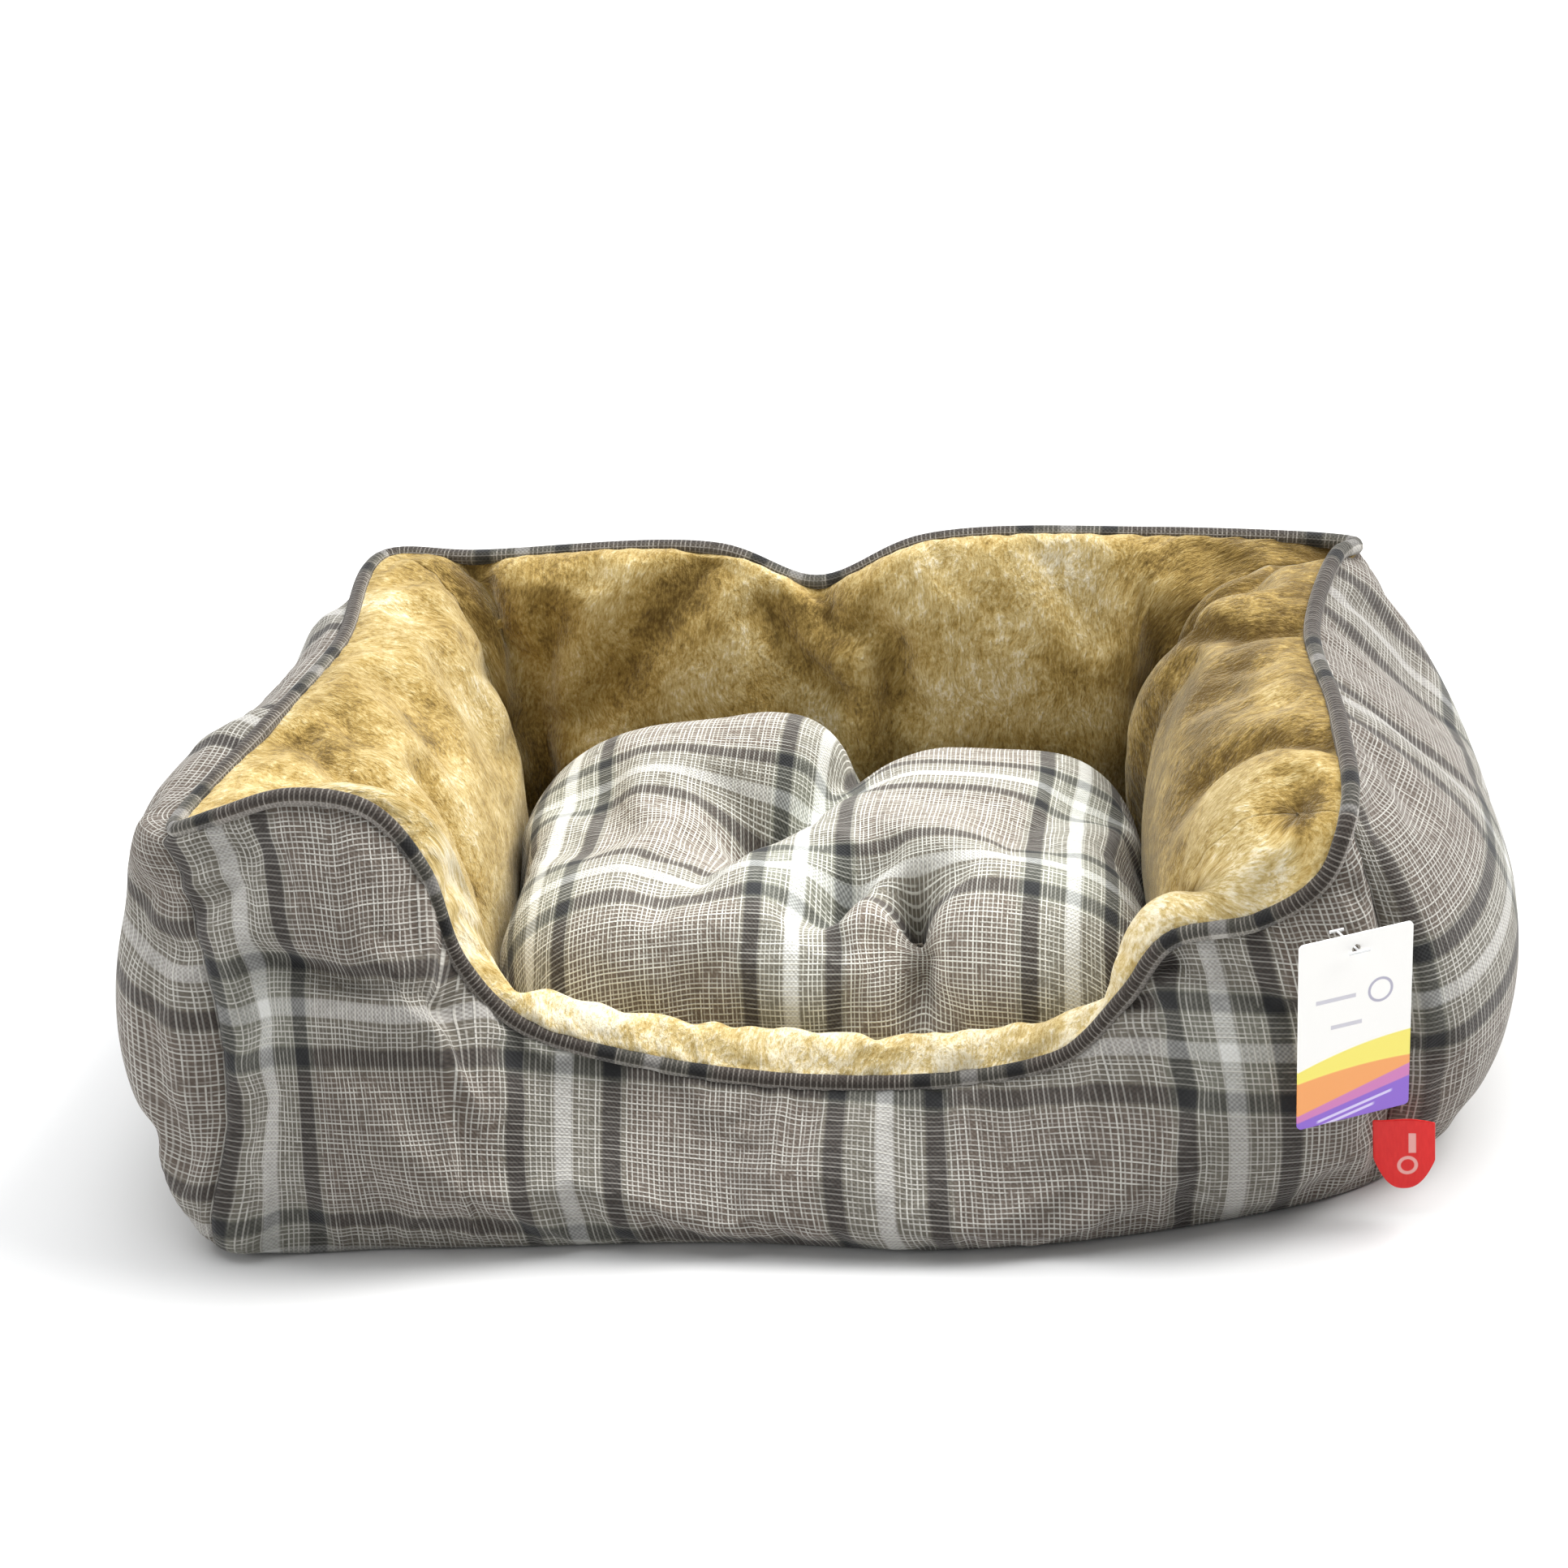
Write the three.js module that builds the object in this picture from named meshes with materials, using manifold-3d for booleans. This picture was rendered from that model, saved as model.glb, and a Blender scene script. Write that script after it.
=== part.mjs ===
// A bolster pet bed: a flat base with four stuffed walls round it, a scooped entrance in the front
// wall, a plush lining, piping along the whole rim, a loose cushion, a sewn-in label and a hang tag.
// Millimetres, +Z up, the entrance faces -Y, and the origin is on the floor under the middle.
import * as THREE from 'three';
import { mergeVertices } from 'three/addons/utils/BufferGeometryUtils.js';
import Module from 'manifold-3d';

const wasm = await Module();
wasm.setup();

// ---- driving dimensions ----

const CLOTH = 2; // plaid outer cloth with its backing
const PLUSH = 4; // backing and short pile of the lining
const GAP = 0.5; // clearance between pieces that touch
const FILL_GAP = 2.6; // clearance of the stuffing, whose faces are coarser than the cloths
const SEAM_INSET = 6.5; // how far the outer cloth stops short of the rim line, where the piping sits
const LINING_INSET = 9; // how far the lining stops short of it
const FILL_INSET = 15; // how far the stuffing stops short of it
const FILL_HOLD_BACK = 2; // and short of the corner seams
const MOST_HOLD_BACK = 0.45; // the largest share of a station's step that a piece may be held back
const STEEPEST = 0.25; // sine of the sharpest slant at which a section is taken to meet the rim
const MOST_TRIM = 0.4; // the largest share of a section that an inset may take
const CROWN = 10; // how far the lining swells above the rim line on its way in
const TUCK = 16; // how far the lining pulls back under the wall's fattest point
const FAT_POINT = { least: 22, share: 0.38 }; // its height: least plus a share of the rim's height
const FULLNESS = 1.08; // 1 swells the lining as a quarter ellipse, 2 draws it straight

const UNDERSIDE = { bottom: 0, top: 1.5 };
const WADDING = { bottom: 2, top: 15 };
const FLOOR_LINING = { bottom: 15.4, top: 18.6 };
const WALL_FOOT = 2.1;

const PIPING = { radius: 4, bore: 3.1, cord: 2.4, coverSides: 6, cordSides: 6, spaceSides: 8 };

// The space between the walls: a rounded rectangle that leans left as it goes back.
const ROOM = { halfWidth: 158, halfDepth: 112, x: -2, lean: -0.12, squareness: 8 };

// Each wall runs from its own first corner seam to the next wall's, anticlockwise from above. rim is
// the top seam and foot is where the outer cloth meets the underside; along is the direction in
// which the wall runs, and bulge is how far its outer face swells past a straight line.
const WALLS = [
  {
    name: 'front', along: 'x', steps: 30, bulge: 25,
    rim: [
      [-262, -135, 183], [-240, -142, 192], [-205, -144, 202], [-172, -144, 195], [-153, -142, 165],
      [-143, -141, 118], [-120, -142, 87], [-60, -143, 66], [0, -144, 57], [70, -144, 57],
      [120, -143, 68], [148, -144, 98], [168, -146, 126], [205, -149, 136], [232, -149, 155],
    ],
    foot: [[-252, -188], [-172, -191], [-28, -187], [73, -193], [177, -174]],
  },
  {
    name: 'right', along: 'y', steps: 12, bulge: 46,
    rim: [[243, -136, 178], [240, -60, 186], [229, 45, 182], [242, 130, 184]],
    foot: [[250, -142], [284, -95], [290, -20], [284, 70]],
  },
  {
    name: 'back', along: 'x', steps: 18, bulge: 35,
    rim: [[250, 150, 180], [150, 152, 188], [40, 150, 189], [-15, 147, 170], [-65, 150, 188], [-190, 151, 188]],
    foot: [[258, 150], [150, 172], [0, 176], [-150, 172]],
  },
  {
    name: 'left', along: 'y', steps: 12, bulge: 44,
    rim: [[-236, 153, 189], [-234, 47, 187], [-247, -47, 187]],
    foot: [[-255, 152], [-282, 70], [-286, -20], [-281, -110]],
  },
];
const CORNER_BULGE = 22;
const NOTCH_X = -15; // the back wall is stitched through here, which pulls its rim down

const OUTER_ROWS = 6;
const INNER_ROWS = 7;
const FILL_ROWS = 5;

const CUSHION = { halfWidth: 155, halfDepth: 109, bottom: 19, seam: 50, top: 117, squareness: 5 };
const CUSHION_COVER = 1.6;
const CUSHION_SIDES = 28;
const TACKS = [{ name: 'left', x: -34, y: 4 }, { name: 'right', x: 48, y: -62 }];
const TACK_DIMPLE = { depth: 20, radius: 60 };
const MOST_SUNK = 0.6; // the largest share of its height over the seam that the top may lose
const TACK = { radius: 0.8, hole: 1.5, holeLength: 200, bar: 6, proud: 5, under: 0.4 };

const TAG = {
  width: 52, height: 87, thickness: 0.8, corner: 2,
  hole: 2.2, holeDrop: 7, // the hole is this far below the middle of the top edge
  at: [245, -180, 140], turn: 27, tilt: -2, // where the hole is, and degrees about Z and across the card
};
const FASTENER = { radius: 0.5, barRadius: 0.7, bar: 9, backBar: 6.3, proud: 3.2, depth: 17, clearance: 0.5 };

const LABEL = { width: 26, height: 33, thickness: 1.1, at: [251, -165, 15], turn: -4 };

const COLOURS = {
  plaid: 0x8d857b, plush: 0xc49a56, pipingCloth: 0x6f675f, blackCloth: 0x1d1d1f, fibre: 0xf1efe9,
  cottonCord: 0xe6e0d2, card: 0xf6f4f0, nylon: 0xf2f2ee, label: 0xc8191e, thread: 0x8a8378,
};

// ---- curves round the bed ----

const toVector = ([x, y, z = 0]) => new THREE.Vector3(x, y, z);

// The stretch of a closed curve between two walls' first knots, as points close together.
function stretches(key) {
  const knots = WALLS.flatMap((wall) => wall[key]);
  const curve = new THREE.CatmullRomCurve3(knots.map(toVector), true, 'centripetal');
  const fine = 240;
  let first = 0;
  return WALLS.map((wall) => {
    const last = first + wall[key].length;
    const points = Array.from({ length: fine + 1 }, (_, k) =>
      curve.getPoint((first + (last - first) * k / fine) / knots.length));
    first = last;
    return points;
  });
}

// count + 1 points at equal distances along a line of points.
function equalSteps(points, count) {
  const lengths = [0];
  for (let k = 1; k < points.length; k++) lengths.push(lengths[k - 1] + points[k].distanceTo(points[k - 1]));
  const total = lengths.at(-1);
  return Array.from({ length: count + 1 }, (_, step) => {
    const wanted = total * step / count;
    const k = Math.min(points.length - 1, Math.max(1, lengths.findIndex((length) => length >= wanted - 1e-9)));
    const share = (wanted - lengths[k - 1]) / (lengths[k] - lengths[k - 1]);
    return points[k - 1].clone().lerp(points[k], share);
  });
}

// The point of a line of points that is this share of the way along x or y.
function atShare(points, axis, share) {
  const wanted = points[0][axis] + (points.at(-1)[axis] - points[0][axis]) * share;
  const rising = points.at(-1)[axis] > points[0][axis];
  const k = Math.max(1, points.findIndex((point) => (rising ? point[axis] >= wanted : point[axis] <= wanted)));
  const part = (wanted - points[k - 1][axis]) / (points[k][axis] - points[k - 1][axis]);
  return points[k - 1].clone().lerp(points[k], THREE.MathUtils.clamp(part, 0, 1));
}

// Flattens a coordinate towards a limit that it nears but never passes.
const softLimit = (value, limit, power) => value / (1 + Math.abs(value / limit) ** power) ** (1 / power);

const roomMiddle = (y) => ROOM.x + ROOM.lean * y;

const farther = (a, b) => (Math.abs(a) > Math.abs(b) ? a : b);

function roomEdge(rim, foot) {
  const y = softLimit(farther(rim.y, foot.y), ROOM.halfDepth, ROOM.squareness);
  const x = softLimit(farther(rim.x, foot.x) - roomMiddle(y), ROOM.halfWidth, ROOM.squareness);
  return new THREE.Vector3(x + roomMiddle(y), y, 0);
}

// One station for each step of each wall: its rim point, its foot point and the room's edge there.
function makeStations() {
  const rims = stretches('rim');
  const feet = stretches('foot');
  const stations = [];
  WALLS.forEach((wall, w) => {
    wall.first = stations.length;
    const rim = equalSteps(rims[w], wall.steps);
    const span = rim.at(-1)[wall.along] - rim[0][wall.along];
    rim.slice(0, -1).forEach((point) => {
      const share = (point[wall.along] - rim[0][wall.along]) / span;
      const foot = atShare(feet[w], wall.along, share);
      const bulge = THREE.MathUtils.lerp(CORNER_BULGE, wall.bulge, Math.sqrt(Math.sin(Math.PI * share)));
      stations.push({ rim: point, foot, room: roomEdge(point, foot), bulge });
    });
  });
  stations.forEach((station, k) => {
    const ahead = stations[(k + 1) % stations.length].foot;
    const behind = stations.at(k - 1).foot;
    const run = ahead.clone().sub(behind).normalize();
    station.outward = new THREE.Vector3(run.y, -run.x, 0);
    const rimAhead = stations[(k + 1) % stations.length].rim;
    station.run = rimAhead.clone().sub(stations.at(k - 1).rim).normalize();
  });
  return stations;
}

const stations = makeStations();
const wallNamed = (name) => WALLS.find((wall) => wall.name === name);
const wallEnd = (wall) => wall.first + wall.steps;

// ---- the two faces of the wall ----

// The outer face, from the foot (0) to the rim (1).
function outerFace(station, share) {
  const { foot, rim, outward, bulge } = station;
  const low = new THREE.Vector3(foot.x, foot.y, WALL_FOOT);
  return low.lerp(rim, share).addScaledVector(outward, bulge * 4 * share * (1 - share));
}

// The inner face, from the rim (0) over the crown to its fattest point, then back under (1).
function innerFace(station, share) {
  const { rim, room, outward } = station;
  const fatHeight = FAT_POINT.least + FAT_POINT.share * rim.z;
  const upper = 0.72;
  if (share <= upper) {
    const turn = share / upper * Math.PI / 2;
    const inwards = Math.sin(turn) ** FULLNESS;
    const down = 1 - Math.max(0, Math.cos(turn)) ** FULLNESS;
    const height = rim.z - (rim.z - fatHeight) * down + CROWN * Math.sin(2 * turn);
    return new THREE.Vector3(
      THREE.MathUtils.lerp(rim.x, room.x, inwards), THREE.MathUtils.lerp(rim.y, room.y, inwards), height);
  }
  const turn = (share - upper) / (1 - upper) * Math.PI / 2;
  const point = room.clone().addScaledVector(outward, TUCK * (1 - Math.cos(turn)));
  point.z = fatHeight - (fatHeight - WALL_FOOT) * Math.sin(turn);
  return point;
}

// A face as a grid of points, one line of rows for each station, held back by an inset from the rim,
// which is at a share of 0 or 1. The normals point out of the wall, square to each line and in the
// upright plane across the wall.
function faceGrid(face, rows, rimShare, inset) {
  const nearRim = 0.06;
  const lines = stations.map((station) => {
    const leaving = face(station, Math.abs(rimShare - nearRim)).sub(station.rim);
    const slant = leaving.clone().normalize().cross(station.run).length();
    const trim = Math.min(MOST_TRIM, nearRim * inset / leaving.length() / Math.max(slant, STEEPEST));
    return Array.from({ length: rows + 1 }, (_, row) => {
      const share = row / rows * (1 - trim);
      return face(station, rimShare === 1 ? share : trim + share);
    });
  });
  const normals = lines.map((line, k) => line.map((point, row) => {
    const along = line[Math.min(row + 1, rows)].clone().sub(line[Math.max(row - 1, 0)]);
    const { outward } = stations[k];
    const normal = outward.clone().multiplyScalar(along.z);
    normal.z = -along.dot(outward);
    return normal.normalize();
  }));
  return { lines, normals };
}

const outerGrid = faceGrid(outerFace, OUTER_ROWS, 1, SEAM_INSET);
const innerGrid = faceGrid(innerFace, INNER_ROWS, 0, LINING_INSET);
const outerFillGrid = faceGrid(outerFace, FILL_ROWS, 1, FILL_INSET);
const innerFillGrid = faceGrid(innerFace, FILL_ROWS, 0, FILL_INSET);

// A line of the grid at a station that may lie between two, moved along its normals.
function gridLine(grid, where, offset) {
  const count = grid.lines.length;
  const low = Math.floor(where);
  const share = where - low;
  const before = (low + count) % count;
  const after = (low + 1) % count;
  return grid.lines[before].map((point, row) => {
    const normal = grid.normals[before][row].clone().lerp(grid.normals[after][row], share).normalize();
    return point.clone().lerp(grid.lines[after][row], share).addScaledVector(normal, offset);
  });
}

// Stations from one place to another, with both ends held back by a distance along the rim.
function span(from, to, holdBack) {
  const stepLength = (k) => {
    const here = stations[Math.floor(k + stations.length) % stations.length].foot;
    const next = stations[Math.floor(k + 1 + stations.length) % stations.length].foot;
    return here.distanceTo(next);
  };
  const places = [from + Math.min(MOST_HOLD_BACK, holdBack / stepLength(from))];
  for (let k = Math.floor(from) + 1; k < to; k++) places.push(k);
  places.push(to - Math.min(MOST_HOLD_BACK, holdBack / stepLength(to - 1)));
  return places;
}

// ---- solids from strips ----

// Joins strips one after another. A strip is a pair of equally long lines of points, the outer and
// the inner edge of a section; a ring of strips closes on itself and has no end caps.
function loft(strips, ring = false) {
  const rows = strips[0][0].length;
  const around = rows * 2;
  const positions = strips.flatMap(([outer, inner]) =>
    [...outer, ...inner.toReversed()].flatMap((point) => [point.x, point.y, point.z]));
  const index = [];
  const last = ring ? strips.length : strips.length - 1;
  for (let s = 0; s < last; s++) {
    const here = s * around;
    const next = ((s + 1) % strips.length) * around;
    for (let k = 0; k < around; k++) {
      const after = (k + 1) % around;
      index.push(here + k, next + k, next + after, here + k, next + after, here + after);
    }
  }
  if (!ring) {
    const end = (strips.length - 1) * around;
    for (let row = 0; row < rows - 1; row++) {
      const [a, b, c, d] = [row, row + 1, around - 2 - row, around - 1 - row];
      index.push(a, b, c, a, c, d);
      index.push(end + a, end + c, end + b, end + a, end + d, end + c);
    }
  }
  const geometry = new THREE.BufferGeometry();
  geometry.setAttribute('position', new THREE.Float32BufferAttribute(positions, 3));
  geometry.setIndex(index);
  return facingOut(geometry);
}

// Turns the faces over if the enclosed volume comes out negative.
function facingOut(geometry) {
  const position = geometry.getAttribute('position');
  const index = geometry.getIndex().array;
  const corner = (k) => new THREE.Vector3().fromBufferAttribute(position, index[k]);
  let volume = 0;
  for (let k = 0; k < index.length; k += 3) volume += corner(k).dot(corner(k + 1).cross(corner(k + 2)));
  if (volume < 0) {
    for (let k = 0; k < index.length; k += 3) [index[k], index[k + 1]] = [index[k + 1], index[k]];
  }
  return geometry;
}

function toManifold(geometry) {
  const bare = new THREE.BufferGeometry();
  bare.setAttribute('position', geometry.getAttribute('position').clone());
  if (geometry.getIndex()) bare.setIndex(geometry.getIndex().clone());
  const merged = mergeVertices(bare, 1e-4);
  const vertProperties = new Float32Array(merged.getAttribute('position').array);
  const triVerts = new Uint32Array(merged.getIndex().array);
  return new wasm.Manifold(new wasm.Mesh({ numProp: 3, vertProperties, triVerts }));
}

function fromManifold(solid) {
  const { vertProperties, triVerts } = solid.getMesh();
  const geometry = new THREE.BufferGeometry();
  geometry.setAttribute('position', new THREE.Float32BufferAttribute(vertProperties, 3));
  geometry.setIndex(Array.from(triVerts));
  return geometry;
}

// A cut solid without the slivers that a cut may leave beside it.
function without(geometry, cutters) {
  const cut = cutters.reduce((solid, cutter) => solid.subtract(toManifold(cutter)), toManifold(geometry));
  const bodies = cut.decompose().sort((a, b) => b.volume() - a.volume());
  return fromManifold(bodies[0]);
}

const joined = (geometries) => fromManifold(geometries.map(toManifold).reduce((all, next) => all.add(next)));

// ---- the parts of the walls ----

// A sheet of cloth on one face of a wall. spare grows it both ways, to cut its space out of others.
function sheet(wall, grid, thickness, spare = 0) {
  const places = span(wall.first, wallEnd(wall), spare > 0 ? 0 : GAP);
  return loft(places.map((place) => [
    gridLine(grid, place, spare),
    gridLine(grid, place, -thickness - spare),
  ]));
}

const outerPanel = (wall, spare) => sheet(wall, outerGrid, CLOTH, spare);
const liningPanel = (wall, spare) => sheet(wall, innerGrid, PLUSH, spare);

// The stuffing's section at one place: up its outer side and up its inner side.
const fillSection = (place) => [
  gridLine(outerFillGrid, place, -CLOTH - FILL_GAP),
  gridLine(innerFillGrid, place, -PLUSH - FILL_GAP).reverse(),
];

const fillBetween = (from, to) => loft(span(from, to, FILL_HOLD_BACK).map(fillSection));

// The cloth web that is stitched through the back wall and parts its stuffing in two.
function notchStation() {
  const back = wallNamed('back');
  const distance = (k) => Math.abs(stations[k].rim.x - NOTCH_X);
  const candidates = Array.from({ length: back.steps }, (_, k) => back.first + k);
  return candidates.reduce((best, k) => (distance(k) < distance(best) ? k : best));
}

const WEB_HALF = 0.04; // of a station's step

const backWeb = (notch) => loft([notch - WEB_HALF, notch + WEB_HALF].map(fillSection));

// ---- piping ----

// The middle of the piping and two directions across it, at a place along the rim.
function pipingFrame(place) {
  const count = stations.length;
  const low = Math.floor(place);
  const rimAt = (k) => stations[(k + count) % count].rim;
  const middle = rimAt(low).clone().lerp(rimAt(low + 1), place - low);
  const nearest = Math.round(place);
  const run = rimAt(nearest + 1).clone().sub(rimAt(nearest - 1)).normalize();
  const outward = stations[(nearest + count) % count].outward;
  const up = run.clone().cross(outward).normalize();
  return { middle, up, side: up.clone().cross(run).normalize() };
}

function onPiping({ middle, up, side }, angle, radius) {
  return middle.clone()
    .addScaledVector(side, radius * Math.cos(angle))
    .addScaledVector(up, radius * Math.sin(angle));
}

function pipingCover(wall) {
  const frames = span(wall.first, wallEnd(wall), GAP).map(pipingFrame);
  const strips = Array.from({ length: PIPING.coverSides }, (_, k) => {
    const angle = 2 * Math.PI * k / PIPING.coverSides;
    const line = (radius) => frames.map((frame) => onPiping(frame, angle, radius));
    return [line(PIPING.radius), line(PIPING.bore)];
  });
  return loft(strips, true);
}

// A solid ring along the whole rim: a loop of sections, each a pair of facing lines.
function rimRing(radius, sides) {
  const places = WALLS.flatMap((wall) => span(wall.first, wallEnd(wall), GAP));
  const strips = places.map(pipingFrame).map((frame) => {
    const points = Array.from({ length: sides }, (_, k) =>
      onPiping(frame, 2 * Math.PI * (k + 0.5) / sides, radius));
    return [points.slice(0, sides / 2), points.slice(sides / 2).reverse()];
  });
  return loft(strips, true);
}

// ---- the base ----

// How far a rounded rectangle reaches at an angle, as a share of its half sizes.
const superellipse = (angle, power) =>
  (Math.abs(Math.cos(angle)) ** power + Math.abs(Math.sin(angle)) ** power) ** (-1 / power);

function slab(outline, { bottom, top }) {
  const shape = new THREE.Shape(outline.map((point) => new THREE.Vector2(point.x, point.y)));
  const geometry = new THREE.ExtrudeGeometry(shape, { depth: top - bottom, bevelEnabled: false });
  return geometry.translate(0, 0, bottom);
}

// Every other station is enough for a flat outline.
const everyOther = stations.filter((_, k) => k % 2 === 0);
const footOutline = () => everyOther.map((station) => station.foot);

// The pad fills the room between the walls, with a little clearance.
function padOutline() {
  const corners = 36;
  const clearance = 3;
  return Array.from({ length: corners }, (_, k) => {
    const angle = 2 * Math.PI * (k + 0.5) / corners;
    const reach = superellipse(angle, ROOM.squareness);
    const y = Math.sin(angle) * reach * (ROOM.halfDepth - clearance);
    return new THREE.Vector2(Math.cos(angle) * reach * (ROOM.halfWidth - clearance) + roomMiddle(y), y);
  });
}

// ---- the cushion ----

const TOP_FLATNESS = 2.6;
const BOTTOM_FLATNESS = 6;

// How far the top is up from the seam to its peak, from the middle (0) out to the seam (1).
const topRise = (share) => Math.sqrt(1 - share ** TOP_FLATNESS);

const dimple = (x, y) => TACKS.reduce((sum, tack) => {
  const distance = Math.hypot(x - tack.x, y - tack.y) / TACK_DIMPLE.radius;
  return sum + TACK_DIMPLE.depth * Math.exp(-distance * distance * 3);
}, 0);

// A closed turned profile of [share of the half size, height] pairs, drawn out to the cushion's
// outline, whose top sinks where the tacks pull it in.
function pillow(profile, inset) {
  const points = profile.map(([share, height]) => new THREE.Vector2(share, height));
  const geometry = new THREE.LatheGeometry(points, CUSHION_SIDES).rotateX(Math.PI / 2);
  const position = geometry.getAttribute('position');
  for (let k = 0; k < position.count; k++) {
    const angle = Math.atan2(position.getY(k), position.getX(k));
    const turned = Math.hypot(position.getX(k), position.getY(k));
    const share = turned * superellipse(angle, CUSHION.squareness);
    const y = Math.sin(angle) * share * (CUSHION.halfDepth - inset);
    const x = Math.cos(angle) * share * (CUSHION.halfWidth - inset) + roomMiddle(y);
    const height = position.getZ(k);
    const most = Math.max(0, height - CUSHION.seam) * MOST_SUNK;
    position.setXYZ(k, x, y, height - Math.min(most, dimple(x, y) * topRise(Math.min(1, turned))));
  }
  geometry.deleteAttribute('normal');
  geometry.deleteAttribute('uv');
  return facingOut(mergeVertices(geometry, 1e-3));
}

// Heights of the cushion's top or bottom face, from the middle (share 0) out to the seam (share 1).
function pillowFace(peak, flatness, inset) {
  const rows = 7;
  const edge = CUSHION.seam;
  const rise = peak > edge ? peak - edge - inset : peak - edge + inset;
  return Array.from({ length: rows + 1 }, (_, row) => {
    const share = Math.sin(row / rows * Math.PI / 2);
    return [share, edge + rise * (1 - share ** flatness) ** (1 / 2)];
  });
}

function cushionSkin(peak, flatness) {
  const outside = pillowFace(peak, flatness, 0);
  const inside = pillowFace(peak, flatness, CUSHION_COVER).map(([share, height]) =>
    [share * (1 - CUSHION_COVER / CUSHION.halfDepth), height]);
  const split = Math.sign(peak - CUSHION.seam) * GAP / 2;
  const clear = (points) => points.map(([share, height]) => [share, height + split]);
  return pillow([...clear(outside), ...clear(inside).reverse()], 0);
}

function cushionFill() {
  const inset = CUSHION_COVER + FILL_GAP;
  const top = pillowFace(CUSHION.top, TOP_FLATNESS, inset);
  const bottom = pillowFace(CUSHION.bottom, BOTTOM_FLATNESS, inset);
  return pillow([...top, ...bottom.reverse().slice(1)], inset);
}

const upright = (radius, length, x, y, middle) =>
  new THREE.CylinderGeometry(radius, radius, length, 8).rotateX(Math.PI / 2).translate(x, y, middle);

const tackHoles = () =>
  TACKS.map((tack) => upright(TACK.hole, TACK.holeLength, tack.x, tack.y, CUSHION.seam));

// A stitch through the whole cushion, with a short bar of thread on the top face.
function tackStitch(tack) {
  const top = tackHeight(tack);
  const bottom = CUSHION.bottom + TACK.under;
  const shank = upright(TACK.radius, top - bottom, tack.x, tack.y, (top + bottom) / 2);
  const bar = new THREE.BoxGeometry(TACK.bar, 2 * TACK.radius, 2 * TACK.radius).translate(tack.x, tack.y, top);
  return joined([shank, bar]);
}

// The height of the top cover's outer face over a tack.
function tackHeight({ x, y }) {
  const across = Math.abs(x - roomMiddle(y)) / CUSHION.halfWidth;
  const deep = Math.abs(y) / CUSHION.halfDepth;
  const share = (across ** CUSHION.squareness + deep ** CUSHION.squareness) ** (1 / CUSHION.squareness);
  const rise = (CUSHION.top - CUSHION.seam - dimple(x, y)) * topRise(share);
  return CUSHION.seam + rise + TACK.proud;
}

// ---- tag, fastener and label ----

// Places what is drawn round the hole of the tag, facing -Y, where the tag hangs.
function atTag(geometry) {
  return geometry
    .rotateY(-THREE.MathUtils.degToRad(TAG.tilt))
    .rotateZ(THREE.MathUtils.degToRad(TAG.turn))
    .translate(...TAG.at);
}

function roundedRectangle(left, bottom, width, height, corner) {
  const shape = new THREE.Shape();
  shape.moveTo(left + corner, bottom);
  shape.absarc(left + width - corner, bottom + corner, corner, -Math.PI / 2, 0);
  shape.absarc(left + width - corner, bottom + height - corner, corner, 0, Math.PI / 2);
  shape.absarc(left + corner, bottom + height - corner, corner, Math.PI / 2, Math.PI);
  shape.absarc(left + corner, bottom + corner, corner, Math.PI, Math.PI * 1.5);
  return shape;
}

function hangTag() {
  const { width, height, thickness, corner, hole, holeDrop } = TAG;
  const card = roundedRectangle(-width / 2, holeDrop - height, width, height, corner);
  card.holes.push(new THREE.Path().absarc(0, 0, hole, 0, 2 * Math.PI, true));
  const options = { depth: thickness, bevelEnabled: false, curveSegments: 4 };
  const geometry = new THREE.ExtrudeGeometry(card, options).translate(0, 0, -thickness / 2);
  return atTag(geometry.rotateX(Math.PI / 2));
}

// A moulded fastener: a bar in front of the card, a filament through its hole and through the front
// panel, and a bar behind the panel. grow makes the space that it needs in the cloth and stuffing.
function tagFastener(grow = 0) {
  const { radius, barRadius, bar, backBar, proud, depth } = FASTENER;
  const rod = (thickness, length) =>
    new THREE.CylinderGeometry(thickness + grow, thickness + grow, length + 2 * grow, 8);
  const filament = rod(radius, proud + depth).translate(0, (depth - proud) / 2, 0);
  const barAt = (y, length) => rod(barRadius, length).rotateZ(Math.PI / 2).translate(0, y, 0);
  return atTag(joined([filament, barAt(-proud, bar), barAt(depth, backBar)]));
}

// A tongue of glossy ribbon sewn into the front right corner seam by its left edge.
function seamLabel() {
  const { width, height, thickness } = LABEL;
  const shape = new THREE.Shape();
  shape.moveTo(0, height);
  shape.lineTo(0, height * 0.45);
  shape.bezierCurveTo(0, height * 0.1, width * 0.25, 0, width * 0.5, 0);
  shape.bezierCurveTo(width * 0.8, 0, width, height * 0.2, width, height);
  const options = { depth: thickness, bevelEnabled: false, curveSegments: 8 };
  return new THREE.ExtrudeGeometry(shape, options)
    .rotateX(Math.PI / 2)
    .rotateZ(THREE.MathUtils.degToRad(LABEL.turn))
    .translate(...LABEL.at);
}

// ---- the assembly ----

const material = (color, roughness) => new THREE.MeshStandardMaterial({ color, roughness, metalness: 0 });
const MATERIALS = {
  plaid: material(COLOURS.plaid, 0.9), plush: material(COLOURS.plush, 1),
  pipingCloth: material(COLOURS.pipingCloth, 0.9), blackCloth: material(COLOURS.blackCloth, 0.85),
  fibre: material(COLOURS.fibre, 1), cottonCord: material(COLOURS.cottonCord, 1),
  card: material(COLOURS.card, 0.5), nylon: material(COLOURS.nylon, 0.3),
  label: material(COLOURS.label, 0.35), thread: material(COLOURS.thread, 0.8),
};

const bed = new THREE.Group();

function add(name, geometry, look) {
  const mesh = new THREE.Mesh(geometry, MATERIALS[look]);
  mesh.name = name;
  bed.add(mesh);
}

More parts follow.
